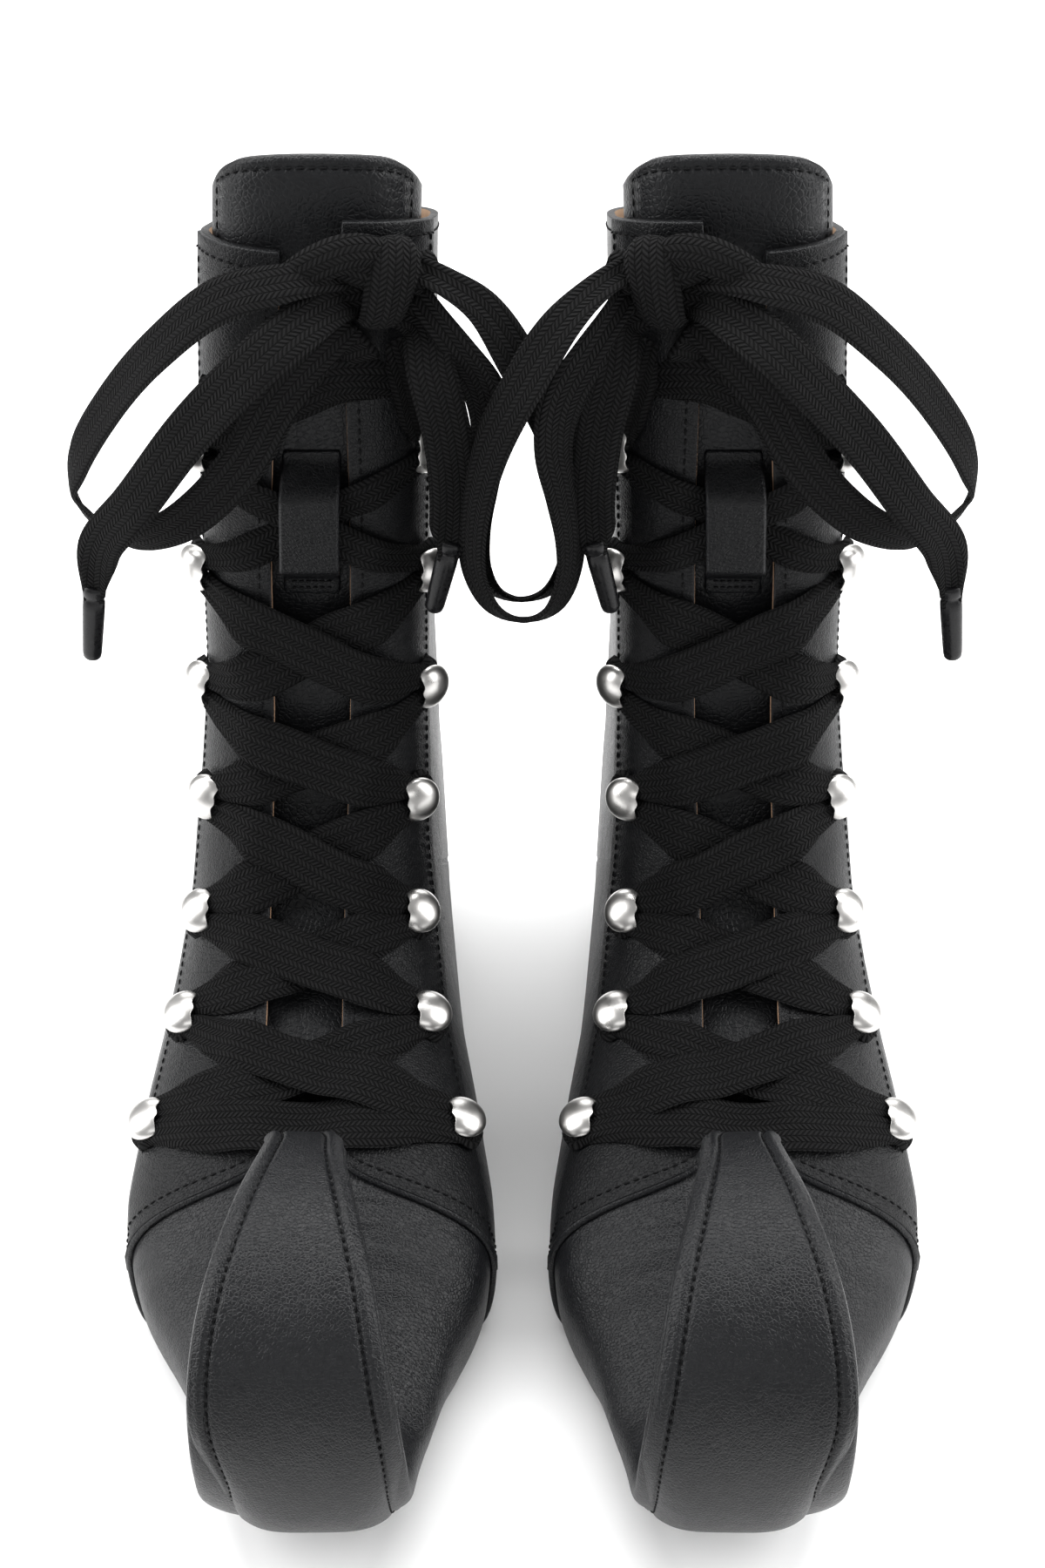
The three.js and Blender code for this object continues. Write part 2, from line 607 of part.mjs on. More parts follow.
// One boot, in its own frame: x outwards, y forwards, z up from the floor.
function boot(name, loopLead) {
  const group = new THREE.Group();
  const add = (part, geometry, finish) => {
    const piece = mesh(`${name}_${part}`, geometry, finish);
    group.add(piece);
    return piece;
  };
  add('outsole', soleSheet(0, SOLE_THICKNESS), 'sole');
  add('insole', soleSheet(LEATHER + 2 * LINING, INSOLE_THICKNESS), 'sock').position.z = UPPER_BASE;
  add('vamp', vamp(), 'leather');
  add('toe_curl', toeCurl(), 'leather');
  add('quarter_outer', quarter(1), 'leather');
  add('quarter_inner', quarter(-1), 'leather');
  add('heel_counter', heelCounter(), 'leather');
  add('tongue', tongue(), 'tongue');
  add('tongue_keeper', tongueKeeper(), 'leather');
  add('lacing', lacing(), 'lace');

  const hookSolid = hook();
  ROW_STATIONS.forEach((_, row) => {
    for (const [sideName, side] of [['outer', 1], ['inner', -1]]) {
      const { centre, normal } = frameAt(...hookPlace(row, side));
      const piece = add(`hook_${sideName}_${row + 1}`, hookSolid.clone(), 'steel');
      piece.position.copy(centre);
      piece.quaternion.setFromUnitVectors(point(0, 1, 0), normal);
    }
  });

  const innerLoop = INNER_LOOP.map(([x, forward, height]) => (
    [x, forward + loopLead * smooth(-x, 30, 50), height]));
  add('bow_loop_outer', cordTube(routeOf(OUTER_LOOP), 18), 'lace');
  add('bow_loop_inner', cordTube(routeOf(innerLoop), 20), 'lace');
  for (const [sideName, route, tilt] of [
    ['outer', OUTER_END, OUTER_AGLET_TILT], ['inner', INNER_END, INNER_AGLET_TILT],
  ]) {
    add(`lace_end_${sideName}`, cordTube(routeOf(route), 9), 'lace');
    const aglet = new THREE.CylinderGeometry(AGLET.radius, AGLET.radius, AGLET.length, 8);
    aglet.deleteAttribute('normal');
    aglet.deleteAttribute('uv');
    const piece = add(`aglet_${sideName}`, mergeVertices(aglet, 1e-3), 'plastic');
    const direction = point(...tilt).normalize();
    const tip = point(...route[route.length - 1]);
    piece.position.copy(tip).addScaledVector(direction, AGLET.length / 2 + GAP);
    piece.quaternion.setFromUnitVectors(point(0, 1, 0), direction);
  }
  return group;
}

// Each boot is turned so that its toe points to -Y; the left one is the mirror of the right.
const pair = new THREE.Group();
for (const [name, side, lead] of [['left', -1, -INNER_LOOP_LEAD], ['right', 1, INNER_LOOP_LEAD]]) {
  const one = boot(name, lead);
  one.scale.set(side, -1, 1);
  one.position.set((side * BOOT_SPACING) / 2, 0, 0);
  pair.add(one);
}
const extent = new THREE.Box3().setFromObject(pair, true);
pair.position.y = -(extent.min.y + extent.max.y) / 2;

export default pair;
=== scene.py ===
# A pair of black leather boxing boots with curled toes, flat woven laces and domed speed hooks.
# Sizes are millimetres in the boot's own frame (x outwards, forward from the heel, height from the
# floor) until a point is placed in the row frame, in metres.
import math
import random

import bmesh
import bpy
import numpy as np
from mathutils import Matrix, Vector


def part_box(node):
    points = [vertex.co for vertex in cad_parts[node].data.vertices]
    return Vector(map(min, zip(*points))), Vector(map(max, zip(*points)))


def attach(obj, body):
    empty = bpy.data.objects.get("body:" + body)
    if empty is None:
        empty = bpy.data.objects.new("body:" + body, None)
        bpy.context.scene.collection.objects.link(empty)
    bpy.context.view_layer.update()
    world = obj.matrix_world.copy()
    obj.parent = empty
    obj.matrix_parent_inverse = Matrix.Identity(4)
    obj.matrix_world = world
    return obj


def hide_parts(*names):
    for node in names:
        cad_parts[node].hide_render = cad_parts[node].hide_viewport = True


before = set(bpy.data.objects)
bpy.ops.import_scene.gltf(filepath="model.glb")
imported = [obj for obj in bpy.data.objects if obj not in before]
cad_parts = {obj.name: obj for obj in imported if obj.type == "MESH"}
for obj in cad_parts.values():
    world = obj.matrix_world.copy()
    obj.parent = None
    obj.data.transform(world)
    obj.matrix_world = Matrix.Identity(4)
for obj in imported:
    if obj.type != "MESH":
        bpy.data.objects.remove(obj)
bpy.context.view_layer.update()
MM = 0.001

# ---------------------------------------------------------------- sizes shared with the frame

FOOT_LENGTH = 294.0
HALF_SPACING = 54.5
SOLE = 3.6
GAP = 0.35
LEATHER = 2.0
LINING = 2.0
INSOLE = 2.4
TONGUE_THICKNESS = 3.2
STRIP_THICKNESS = 1.8
FACING_HALF_GAP = 10.5
COLLAR_HALF_GAP = 7.5
OUTER_DIP = (0.3, 0.15)
CURL_RADIUS = 46.0
CURL_END = 225.0
CURL_STEP = 25.0
UPPER_BASE = SOLE + GAP
TOE_FRONT = -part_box("right_toe_curl")[0].y / MM
FORWARD_ORIGIN = FOOT_LENGTH - TOE_FRONT      # distance forward of the row frame's origin

# The upper's fan of sections: the front point's forward and height, the same of the back or sole
# point, half-width, place of the widest point, half-width at the sole, and softness of the front
# and rear corners. Heights are above UPPER_BASE.
STATIONS = [
    (103, 277.55, 4, 247, 28.6, 0.42, 0, 0.55, 0.85),
    (105, 264, 8, 231, 28.9, 0.42, 0, 0.55, 0.85),
    (106, 236, 10, 214, 29.5, 0.42, 0, 0.55, 0.85),
    (107, 204, 11, 196, 30, 0.42, 0, 0.55, 0.85),
    (108, 168, 9, 166, 30.2, 0.43, 0, 0.55, 0.85),
    (111, 132, 4, 128, 30.8, 0.46, 0, 0.56, 0.85),
    (118, 106, 1, 52, 34.6, 0.52, 0, 0.6, 0.85),
    (125, 91, 4, 0, 37, 0.55, 0, 0.6, 0.8),
    (133, 78, 24, 0, 38, 0.57, 27, 0.62, 0.75),
    (158, 63, 86, 0, 42.2, 0.6, 33, 0.75, 0.75),
    (186, 52, 140, 0, 46.2, 0.62, 38, 0.8, 0.75),
    (200, 45, 178, 0, 48.3, 0.64, 44, 0.85, 0.75),
    (214, 38, 208, 0, 45.5, 0.64, 42, 0.85, 0.75),
    (230, 30, 230, 0, 36.4, 0.62, 32, 0.85, 0.75),
]
COLLAR = 1
ROW_STATIONS = [10, 9, 8, 6, 5, 4, 3]
ROW_HALF_SPANS = [39.4, 31.7, 28.3, 26.8, 27.8, 27.3, 26.5]
HEEL_STATION = 7
FACING_END = 10.35
QUARTER_END = 12
SEAM_BOW = 2.8
TONGUE_BASE = 10.9
CURL_HALF_WIDTHS = [30, 26, 24.5, 24.2, 23.8, 22.4, 19.4, 14.9, 10.8, 9.6]
CURL_DEPTHS = [23, 21, 16, 11, 7.6, 6.4, 6, 6, 6, 6]
# Sideways shift of the centre line: of the foot by distance forward, of the shaft by height above the
# floor, and of the top of the curl.
FOOT_LINE = [(0, 5.5), (60, 6), (120, 5.6), (150, 4.2), (185, 2.4), (205, 0.8), (230, -1.8), (250, -3.6),
             (294, -5)]
SHAFT_LINE = [(90, 3.8), (136, 1.4), (172, 0), (208, -1.8), (284, -6)]
CURL_LEAN = -2.7
STRIP_MARGIN = 1.2
CURL_STATION = len(STATIONS)
TIP = CURL_STATION + len(CURL_DEPTHS) - 1
CURL_CENTRE = (FOOT_LENGTH - CURL_RADIUS, CURL_RADIUS + UPPER_BASE)

# ---------------------------------------------------------------- camera

def add_camera():
    """Above and in front of the pair, looking down at the insteps."""
    pitch = math.radians(36)
    distance = 600
    aim_forward, aim_height = 110, 110
    forward = aim_forward + distance * math.cos(pitch)
    height = aim_height + distance * math.sin(pitch)
    data = bpy.data.cameras.new("camera")
    data.sensor_fit = "VERTICAL"
    data.sensor_height = 36
    data.lens = 50.4
    data.clip_start = 0.01
    camera = bpy.data.objects.new("camera", data)
    bpy.context.scene.collection.objects.link(camera)
    camera.location = (0, (FORWARD_ORIGIN - forward) * MM, height * MM)
    camera.rotation_euler = (math.pi / 2 - pitch, 0, 0)
    bpy.context.scene.camera = camera


add_camera()

# ---------------------------------------------------------------- maths of the boot's surface

def smooth(value, low, high):
    t = np.clip((np.asarray(value, float) - low) / (high - low), 0, 1)
    return t * t * (3 - 2 * t)


def mix(a, b, t):
    return a + (b - a) * t


def on_curl(radius, degrees):
    """Forward and height of a place on the toe's circle, in degrees round from its bottom."""
    angle = np.radians(degrees)
    return CURL_CENTRE[0] + radius * np.sin(angle), CURL_CENTRE[1] - radius * np.cos(angle)


def section_table():
    rows = []
    for pf, pz, qf, qz, half, widest, sole, front, rear in STATIONS:
        rows.append((pf, UPPER_BASE + pz, qf, UPPER_BASE + qz, half, widest, sole, front, rear))
    under_strip = CURL_RADIUS - STRIP_THICKNESS - GAP
    for i, (half, depth) in enumerate(zip(CURL_HALF_WIDTHS, CURL_DEPTHS)):
        degrees = i * CURL_STEP
        thin = float(smooth(degrees, 62, 118))
        rows.append((*on_curl(CURL_RADIUS - depth, degrees),
                     *on_curl(under_strip - mix(0.8, 0, thin), degrees),
                     half, 0.55, half - mix(16, 4.5, thin), 0.7, mix(1, 0.7, thin)))
    return np.array(rows, float)


TABLE = section_table()


def through(values, t):
    """Smooth curve through rows of values at 0, 1, 2 ..."""
    values = np.asarray(values, float)
    t = np.asarray(t, float)
    last = len(values) - 1
    i = np.clip(np.floor(t).astype(int), 0, last - 1)
    a, b = values[i], values[i + 1]
    first, final = i == 0, i == last - 1
    shape = (-1,) + (1,) * (values.ndim - 1)
    first, final = first.reshape(shape), final.reshape(shape)
    before = np.where(first, 2 * a - b, values[np.maximum(i - 1, 0)])
    after = np.where(final, 2 * b - a, values[np.minimum(i + 2, last)])
    u = (t - i).reshape(shape)
    return (((2 * u - 3) * u * u + 1) * a + ((u - 2) * u + 1) * u * (b - before) / 2
            + (3 - 2 * u) * u * u * b + (u - 1) * u * u * (after - a) / 2)


def centre_line(forward, height):
    toe = smooth(forward, 195, 225)
    foot = np.interp(forward, *zip(*FOOT_LINE))
    high = mix(np.interp(height, *zip(*SHAFT_LINE)), CURL_LEAN, toe)
    start = mix(20, 45, toe)
    return mix(foot, high, smooth((height - start) / (mix(110, 90, toe) - start), 0, 1))


def local_surface(s, a, inset=0.0):
    """Points of the upper, n by 3: a is 0 in front, 1 at the widest, 2 behind, negative inside."""
    s, a, inset = (np.ravel(v).astype(float) for v in np.broadcast_arrays(s, a, inset))
    pf, pz, qf, qz, half, widest, sole, front, rear = through(TABLE, s).T
    sole = np.where(s <= HEEL_STATION, 0, np.maximum(sole, 0))
    side = np.where(a < 0, -1.0, 1.0)
    t = np.minimum(np.abs(a), 2)
    length = np.hypot(qf - pf, qz - pz)
    closed = 1 - smooth(sole, 0, 8)
    start = inset / length
    end = 1 - inset * closed / length
    half = half - inset
    foot = np.maximum(sole - inset * (1 - closed), 0)
    angle = np.where(t <= 1, t, t - 1) * math.pi / 2
    rise, fall = np.abs(np.sin(angle)), np.abs(np.cos(angle))
    x = np.where(t <= 1, half * rise ** front, foot + (half - foot) * fall ** rear)
    v = np.where(t <= 1, mix(start, widest, 1 - fall ** front), mix(widest, end, rise ** rear))
    forward = mix(pf, qf, v)
    height = np.maximum(mix(pz, qz, v), UPPER_BASE)
    return np.stack([side * x + centre_line(forward, height), forward, height], axis=1)


def param_at(s, x):
    """The parameter a at which a section is x wide, on its front quadrant."""
    row = through(TABLE, np.ravel(np.asarray(s, float)))
    x = np.ravel(np.asarray(x, float))
    ratio = np.minimum(np.abs(x) / row[:, 4], 0.999)
    return np.sign(x) * 2 * np.arcsin(ratio ** (1 / row[:, 7])) / math.pi


def frames(s, a):
    """Points, unit directions outwards along a and downwards along s, and unit normals."""
    s, a = (np.ravel(v).astype(float) for v in np.broadcast_arrays(s, a))
    step = 0.01
    centre = local_surface(s, a)
    across = local_surface(s, a + step) - local_surface(s, a - step)
    down = local_surface(s + step, a) - local_surface(s - step, a)
    normal = np.cross(across, down)
    normal /= np.linalg.norm(normal, axis=1, keepdims=True)
    outward = centre - local_surface(s, a, 2.0)
    flip = np.sign(np.sum(normal * outward, axis=1, keepdims=True))
    normal *= np.where(flip == 0, 1, flip)
    across /= np.maximum(np.linalg.norm(across, axis=1, keepdims=True), 1e-9)
    down /= np.maximum(np.linalg.norm(down, axis=1, keepdims=True), 1e-9)
    return centre, across, down, normal


def place(points, side):
    """Points of the boot's own frame to the row frame, in metres; side is 1 for the right boot."""
    points = np.asarray(points, float).reshape(-1, 3)
    out = np.empty_like(points)
    out[:, 0] = side * (HALF_SPACING + points[:, 0])
    out[:, 1] = FORWARD_ORIGIN - points[:, 1]
    out[:, 2] = points[:, 2]
    return out * MM


def facing_gap(s):
    """Centre line to the inner edge of a facing."""
    return mix(COLLAR_HALF_GAP, FACING_HALF_GAP, smooth(s, COLLAR, 4))


def vamp_edge(s):
    """Parameter a of the seam where the quarters lap the vamp."""
    start = param_at(FACING_END, FACING_HALF_GAP)[0]
    along = np.clip((np.asarray(s, float) - FACING_END) / (QUARTER_END - FACING_END), 0, 1)
    return mix(start, 2, along ** SEAM_BOW)


def backstay_edge(s):
    return 1.7 - 0.12 * smooth(s, 4, 6)

# ---------------------------------------------------------------- mesh building

def to_object(name, vertices, faces, materials, indices=None, uvs=None):
    """A smooth-shaded object; uvs holds one pair per vertex, in millimetres along and across."""
    data = bpy.data.meshes.new(name)
    data.from_pydata([tuple(v) for v in vertices], [], [tuple(int(i) for i in f) for f in faces])
    for material in materials:
        data.materials.append(material)
    if indices is not None:
        data.polygons.foreach_set("material_index", [int(i) for i in indices])
    if uvs is not None:
        layer = data.uv_layers.new(name="weave")
        corner = np.empty(len(data.loops), int)
        data.loops.foreach_get("vertex_index", corner)
        layer.data.foreach_set("uv", np.asarray(uvs, float)[corner].ravel())
    data.polygons.foreach_set("use_smooth", [True] * len(data.polygons))
    work = bmesh.new()
    work.from_mesh(data)
    bmesh.ops.recalc_face_normals(work, faces=work.faces)
    work.to_mesh(data)
    work.free()
    made = bpy.data.objects.new(name, data)
    bpy.context.scene.collection.objects.link(made)
    return made


def grid_normals(points):
    """Unit normals of a rows by columns grid of points."""
    du = np.gradient(points, axis=0)
    dv = np.gradient(points, axis=1)
    normal = np.cross(dv, du)
    return normal / np.maximum(np.linalg.norm(normal, axis=2, keepdims=True), 1e-12)


def slab_faces(rows, columns, layers):
    """Faces of a closed stack of grids: outer first, inner last, edge loops between them.
    Returns the faces and, for each, 0 on the outside, 1 on the edge and 2 inside."""
    size = rows * columns
    faces, kinds = [], []
    for layer, kind in ((0, 0), (layers - 1, 2)):
        base = layer * size
        i, j = np.meshgrid(np.arange(rows - 1), np.arange(columns - 1), indexing="ij")
        corner = base + (i * columns + j).ravel()
        quad = np.stack([corner, corner + 1, corner + columns + 1, corner + columns], axis=1)
        faces.extend(quad if kind == 0 else quad[:, ::-1])
        kinds.extend([kind] * len(quad))
    rim = [j for j in range(columns)]
    rim += [i * columns + columns - 1 for i in range(1, rows)]
    rim += [(rows - 1) * columns + j for j in range(columns - 2, -1, -1)]
    rim += [i * columns for i in range(rows - 2, 0, -1)]
    for layer in range(layers - 1):
        for k, here in enumerate(rim):
            there = rim[(k + 1) % len(rim)]
            faces.append((layer * size + here, layer * size + there,
                          (layer + 1) * size + there, (layer + 1) * size + here))
            kinds.append(1)
    return faces, kinds


def compact(vertices, faces):
    """Drops the vertices that no face uses."""
    used = np.unique(np.concatenate([np.asarray(f) for f in faces]))
    renumber = np.full(len(vertices), -1)
    renumber[used] = np.arange(len(used))
    kept = [tuple(renumber[list(f)]) for f in faces]
    return np.asarray(vertices)[used], kept


def leather_sheet(name, side, s, a, lift, thickness, materials, bulge=0.3):
    """A closed sheet on the upper. s and a are grids of parameters; lift is how far its face stands
    off the upper and thickness its leather, in millimetres, as numbers or grids. Edges are rounded."""
    s, a = np.broadcast_arrays(np.asarray(s, float), np.asarray(a, float))
    rows, columns = s.shape
    base = local_surface(s, a).reshape(rows, columns, 3)
    normal = grid_normals(base)
    outward = base - local_surface(s, a, 2.0).reshape(rows, columns, 3)
    if np.sum(normal * outward) < 0:
        normal = -normal
    return stacked_sheet(name, side, base, normal, lift, thickness, materials, bulge)


def stacked_sheet(name, side, base, normal, lift, thickness, materials, bulge=0.3):
    rows, columns = base.shape[:2]
    lift = np.broadcast_to(np.asarray(lift, float), (rows, columns))[..., None]
    thickness = np.broadcast_to(np.asarray(thickness, float), (rows, columns))[..., None]
    outer = base + normal * lift
    inner = outer - normal * thickness
    push = np.zeros_like(base)
    push[0] += base[0] - base[1]
    push[-1] += base[-1] - base[-2]
    push[:, 0] += base[:, 0] - base[:, 1]
    push[:, -1] += base[:, -1] - base[:, -2]
    push /= np.maximum(np.linalg.norm(push, axis=2, keepdims=True), 1e-9)
    layers = [outer]
    for share, reach in ((0.12, 0.7), (0.5, 1.0), (0.88, 0.7)):
        layers.append(mix(outer, inner, share) + push * thickness * bulge * reach)
    layers.append(inner)
    faces, kinds = slab_faces(rows, columns, len(layers))
    vertices = np.concatenate([layer.reshape(-1, 3) for layer in layers])
    vertices, faces = compact(vertices, faces)
    slots = np.minimum(kinds, len(materials) - 1)
    return to_object(name, place(vertices, side), faces, materials, slots)


def spread(start, end, count, dense=0.0):
    """count values from start to end, closer together near both ends where dense is above 0."""
    t = np.linspace(0, 1, count)
    return mix(start, end, mix(t, 0.5 - 0.5 * np.cos(np.pi * t), dense))


def resample(points, pitch, extra=()):
    """Points at an even pitch along a polyline, with any extra columns carried along."""
    points = np.asarray(points, float)
    steps = np.linalg.norm(np.diff(points, axis=0), axis=1)
    along = np.concatenate([[0], np.cumsum(steps)])
    count = max(int(round(along[-1] / pitch)), 1)
    at = (np.arange(count) + 0.5) * along[-1] / count
    columns = [np.stack([np.interp(at, along, data[:, k]) for k in range(data.shape[1])], axis=1)
               for data in (points, *extra)]
    return columns


def stitch_row(name, side, points, normals, pitch=2.7, length=1.95, radius=0.3):
    """A row of thread stitches, one capsule each, half sunk in the leather along a line."""
    tangents = np.gradient(np.asarray(points, float), axis=0)
    middle, normal, tangent = resample(points, pitch, (np.asarray(normals), tangents))
    rings, spokes = 5, 6
    vertices, faces = [], []
    for p, n, t in zip(middle, normal, tangent):
        n = n / np.linalg.norm(n)
        t = t / np.linalg.norm(t)
        b = np.cross(n, t)
        base = len(vertices)
        for ring in range(rings):
            v = ring / (rings - 1) * 2 - 1
            r = radius * (math.sqrt(max(1 - v ** 4, 0)) * 0.9 + 0.1)
            centre = p + t * v * length / 2 + n * radius * 0.45 * (1 - v * v)
            for spoke in range(spokes):
                angle = 2 * math.pi * spoke / spokes
                vertices.append(centre + r * (math.cos(angle) * b + math.sin(angle) * n * 0.8))
        for ring in range(rings - 1):
            for spoke in range(spokes):
                k = (spoke + 1) % spokes
                faces.append((base + ring * spokes + spoke, base + ring * spokes + k,
                              base + (ring + 1) * spokes + k, base + (ring + 1) * spokes + spoke))
        faces.append(tuple(base + k for k in range(spokes)))
        faces.append(tuple(base + (rings - 1) * spokes + k for k in reversed(range(spokes))))
    return to_object(name, place(vertices, side), faces, [THREAD])


def seam_line(s, a, lift):
    """Points and normals along a line of the upper given by its parameters."""
    centre, _, _, normal = frames(s, a)
    return centre + normal * np.asarray(lift, float).reshape(-1, 1), normal


def finish_piece(made, slot, body, *nodes):
    """Parents the piece to its body's empty and hides the nodes it replaces, if any; slot is not used."""
    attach(made, body)
    if nodes:
        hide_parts(*nodes)
    return made


def swept(name, side, centres, widths, normals, section, materials, uv_scale=True):
    """A closed solid swept along centres. section(i) gives the ring of (across, off) offsets there."""
    centres = np.asarray(centres, float)
    tangents = np.gradient(centres, axis=0)
    tangents /= np.linalg.norm(tangents, axis=1, keepdims=True)
    lengths = np.concatenate([[0], np.cumsum(np.linalg.norm(np.diff(centres, axis=0), axis=1))])
    vertices, faces, uvs = [], [], []
    count = len(section(0))
    for i, (c, t, n) in enumerate(zip(centres, tangents, normals)):
        width = np.cross(t, n)
        width /= np.linalg.norm(width)
        up = np.cross(width, t)
        for across, off in section(i):
            vertices.append(c + width * across * widths[i] + up * off)
            uvs.append((lengths[i], across * widths[i]))
    for i in range(len(centres) - 1):
        for j in range(count):
            k = (j + 1) % count
            faces.append((i * count + j, i * count + k, (i + 1) * count + k, (i + 1) * count + j))
    faces.append(tuple(range(count)))
    faces.append(tuple((len(centres) - 1) * count + j for j in reversed(range(count))))
    return to_object(name, place(vertices, side), faces, materials, None, uvs if uv_scale else None)

# ---------------------------------------------------------------- materials

class Nodes:
    """A material's node tree, with short calls to add and join nodes."""

    def __init__(self, name):
        self.material = bpy.data.materials.new(name)
        self.material.use_nodes = True
        self.tree = self.material.node_tree
        self.shader = self.tree.nodes["Principled BSDF"]

    def add(self, kind, **settings):
        node = self.tree.nodes.new(kind)
        for key, value in settings.items():
            if key in node.inputs:
                node.inputs[key].default_value = value
            else:
                setattr(node, key, value)
        return node

    def link(self, output, socket):
        self.tree.links.new(output, socket)

    def set(self, **values):
        for key, value in values.items():
            self.shader.inputs[key.replace("_", " ")].default_value = value

    def coordinates(self):
        return self.add("ShaderNodeTexCoord").outputs["Object"]

    def noise(self, scale, detail=3.0, roughness=0.5, vector=None):
        node = self.add("ShaderNodeTexNoise", Scale=scale, Detail=detail, Roughness=roughness)
        self.link(vector or self.coordinates(), node.inputs["Vector"])
        return node.outputs["Fac"]

    def cells(self, scale):
        node = self.add("ShaderNodeTexVoronoi", Scale=scale, feature="DISTANCE_TO_EDGE")
        self.link(self.coordinates(), node.inputs["Vector"])
        return node.outputs["Distance"]

    def math(self, operation, a, b=0.0):
        node = self.add("ShaderNodeMath", operation=operation)
        for socket, value in zip(node.inputs, (a, b)):
            if isinstance(value, (int, float)):
                socket.default_value = value
            else:
                self.link(value, socket)
        return node.outputs["Value"]

    def remap(self, value, low, high, out_low, out_high):
        node = self.add("ShaderNodeMapRange")
        for key, number in (("From Min", low), ("From Max", high), ("To Min", out_low), ("To Max", out_high)):
            node.inputs[key].default_value = number
        self.link(value, node.inputs["Value"])
        return node.outputs["Result"]

    def colour(self, factor, dark, light):
        node = self.add("ShaderNodeMix", data_type="RGBA")
        self.link(factor, node.inputs["Factor"])
        node.inputs["A"].default_value = (*dark, 1)
        node.inputs["B"].default_value = (*light, 1)
        self.link(node.outputs["Result"], self.shader.inputs["Base Color"])

    def bumps(self, *heights):
        """Each height is (value, strength, distance in metres)."""
        normal = None
        for value, strength, distance in heights:
            node = self.add("ShaderNodeBump", Strength=strength, Distance=distance)
            self.link(value, node.inputs["Height"])
            if normal is not None:
                self.link(normal, node.inputs["Normal"])
            normal = node.outputs["Normal"]
        self.link(normal, self.shader.inputs["Normal"])


def leather(name, dark, light, rough, grain=1100.0, grain_depth=0.5, creases=0.35, specular=0.25):
    """Smooth leather: fine pores, faint creases and patches of duller finish."""
    n = Nodes(name)
    broad = n.noise(22.0, 4.0)
    fine = n.noise(grain * 0.45, 3.0, 0.6)
    stretched = n.add("ShaderNodeMapping")
    stretched.inputs["Scale"].default_value = (1, 1, 0.45)
    n.link(n.coordinates(), stretched.inputs["Vector"])
    wrinkle = n.noise(150.0, 5.0, 0.62, stretched.outputs["Vector"])
    pores = n.remap(n.cells(grain), 0.0, 0.22, 0.0, 1.0)
    n.colour(n.math("MULTIPLY", broad, fine), dark, light)
    patches = n.math("ADD", broad, n.math("MULTIPLY", fine, 0.5))
    n.link(n.remap(patches, 0.45, 1.05, rough - 0.07, rough + 0.1), n.shader.inputs["Roughness"])
    n.bumps((wrinkle, creases, 0.0016), (pores, grain_depth, 0.00016), (fine, 0.4, 0.0003))
    n.set(Specular_IOR_Level=specular)
    return n.material


def simple(name, tone, dark, light, rough, *bumps, **settings):
    """A noise between two colours. rough is a number, or the range that the same noise spans."""
    n = Nodes(name)
    shade = n.noise(*tone)
    n.colour(shade, dark, light)
    if isinstance(rough, tuple):
        n.link(n.remap(shade, 0.3, 0.8, *rough), n.shader.inputs["Roughness"])
    else:
        n.set(Roughness=rough)
    n.bumps(*((n.noise(*noise), strength, distance) for noise, strength, distance in bumps))
    n.set(**settings)
    return n.material


def woven_cotton():
    """Flat lace: a herringbone braid of thick yarns, its coordinates in millimetres."""
    n = Nodes("woven_cotton")
    uv = n.add("ShaderNodeUVMap", uv_map="weave")
    split = n.add("ShaderNodeSeparateXYZ")
    n.link(uv.outputs["UV"], split.inputs["Vector"])
    along, across = split.outputs["X"], split.outputs["Y"]
    yarn, column = 1.3, 1.7
    which = n.math("PINGPONG", across, column)
    slope = n.math("MULTIPLY", which, 0.85)
    diagonal = n.math("DIVIDE", n.math("ADD", along, slope), yarn)
    ridge = n.math("ABSOLUTE", n.math("SINE", n.math("MULTIPLY", diagonal, math.pi)))
    rows = n.math("ABSOLUTE", n.math("SINE", n.math("MULTIPLY", across, math.pi / column)))
    height = n.math("MULTIPLY", n.math("POWER", ridge, 0.7), n.remap(rows, 0.0, 0.5, 0.45, 1.0))
    fibre = n.noise(2400.0, 3.0, 0.7)
    # Painted light: the colour follows the braid's height, dark in the grooves between yarns (painted shade)
    # and lighter on the yarn crowns (painted highlight); the fibre noise on top is the yarn's own tone.
    tone = n.math("MULTIPLY", height, n.remap(fibre, 0.25, 0.75, 0.5, 1.0))
    n.colour(tone, (0.0003, 0.0003, 0.0004), (0.014, 0.0139, 0.0143))
    n.bumps((height, 1.0, 0.0009), (fibre, 0.45, 0.00025))
    n.set(Roughness=0.88, Specular_IOR_Level=0.1)
    return n.material


def sole_rubber():
    n = Nodes("sole_rubber")
    scuff = n.noise(60.0, 6.0, 0.65)
    n.colour(scuff, (0.008, 0.008, 0.009), (0.024, 0.023, 0.022))
    n.link(n.remap(scuff, 0.3, 0.8, 0.5, 0.8), n.shader.inputs["Roughness"])
    n.bumps((n.cells(420.0), 0.35, 0.0004), (n.noise(1500.0, 3.0), 0.3, 0.0002))
    return n.material


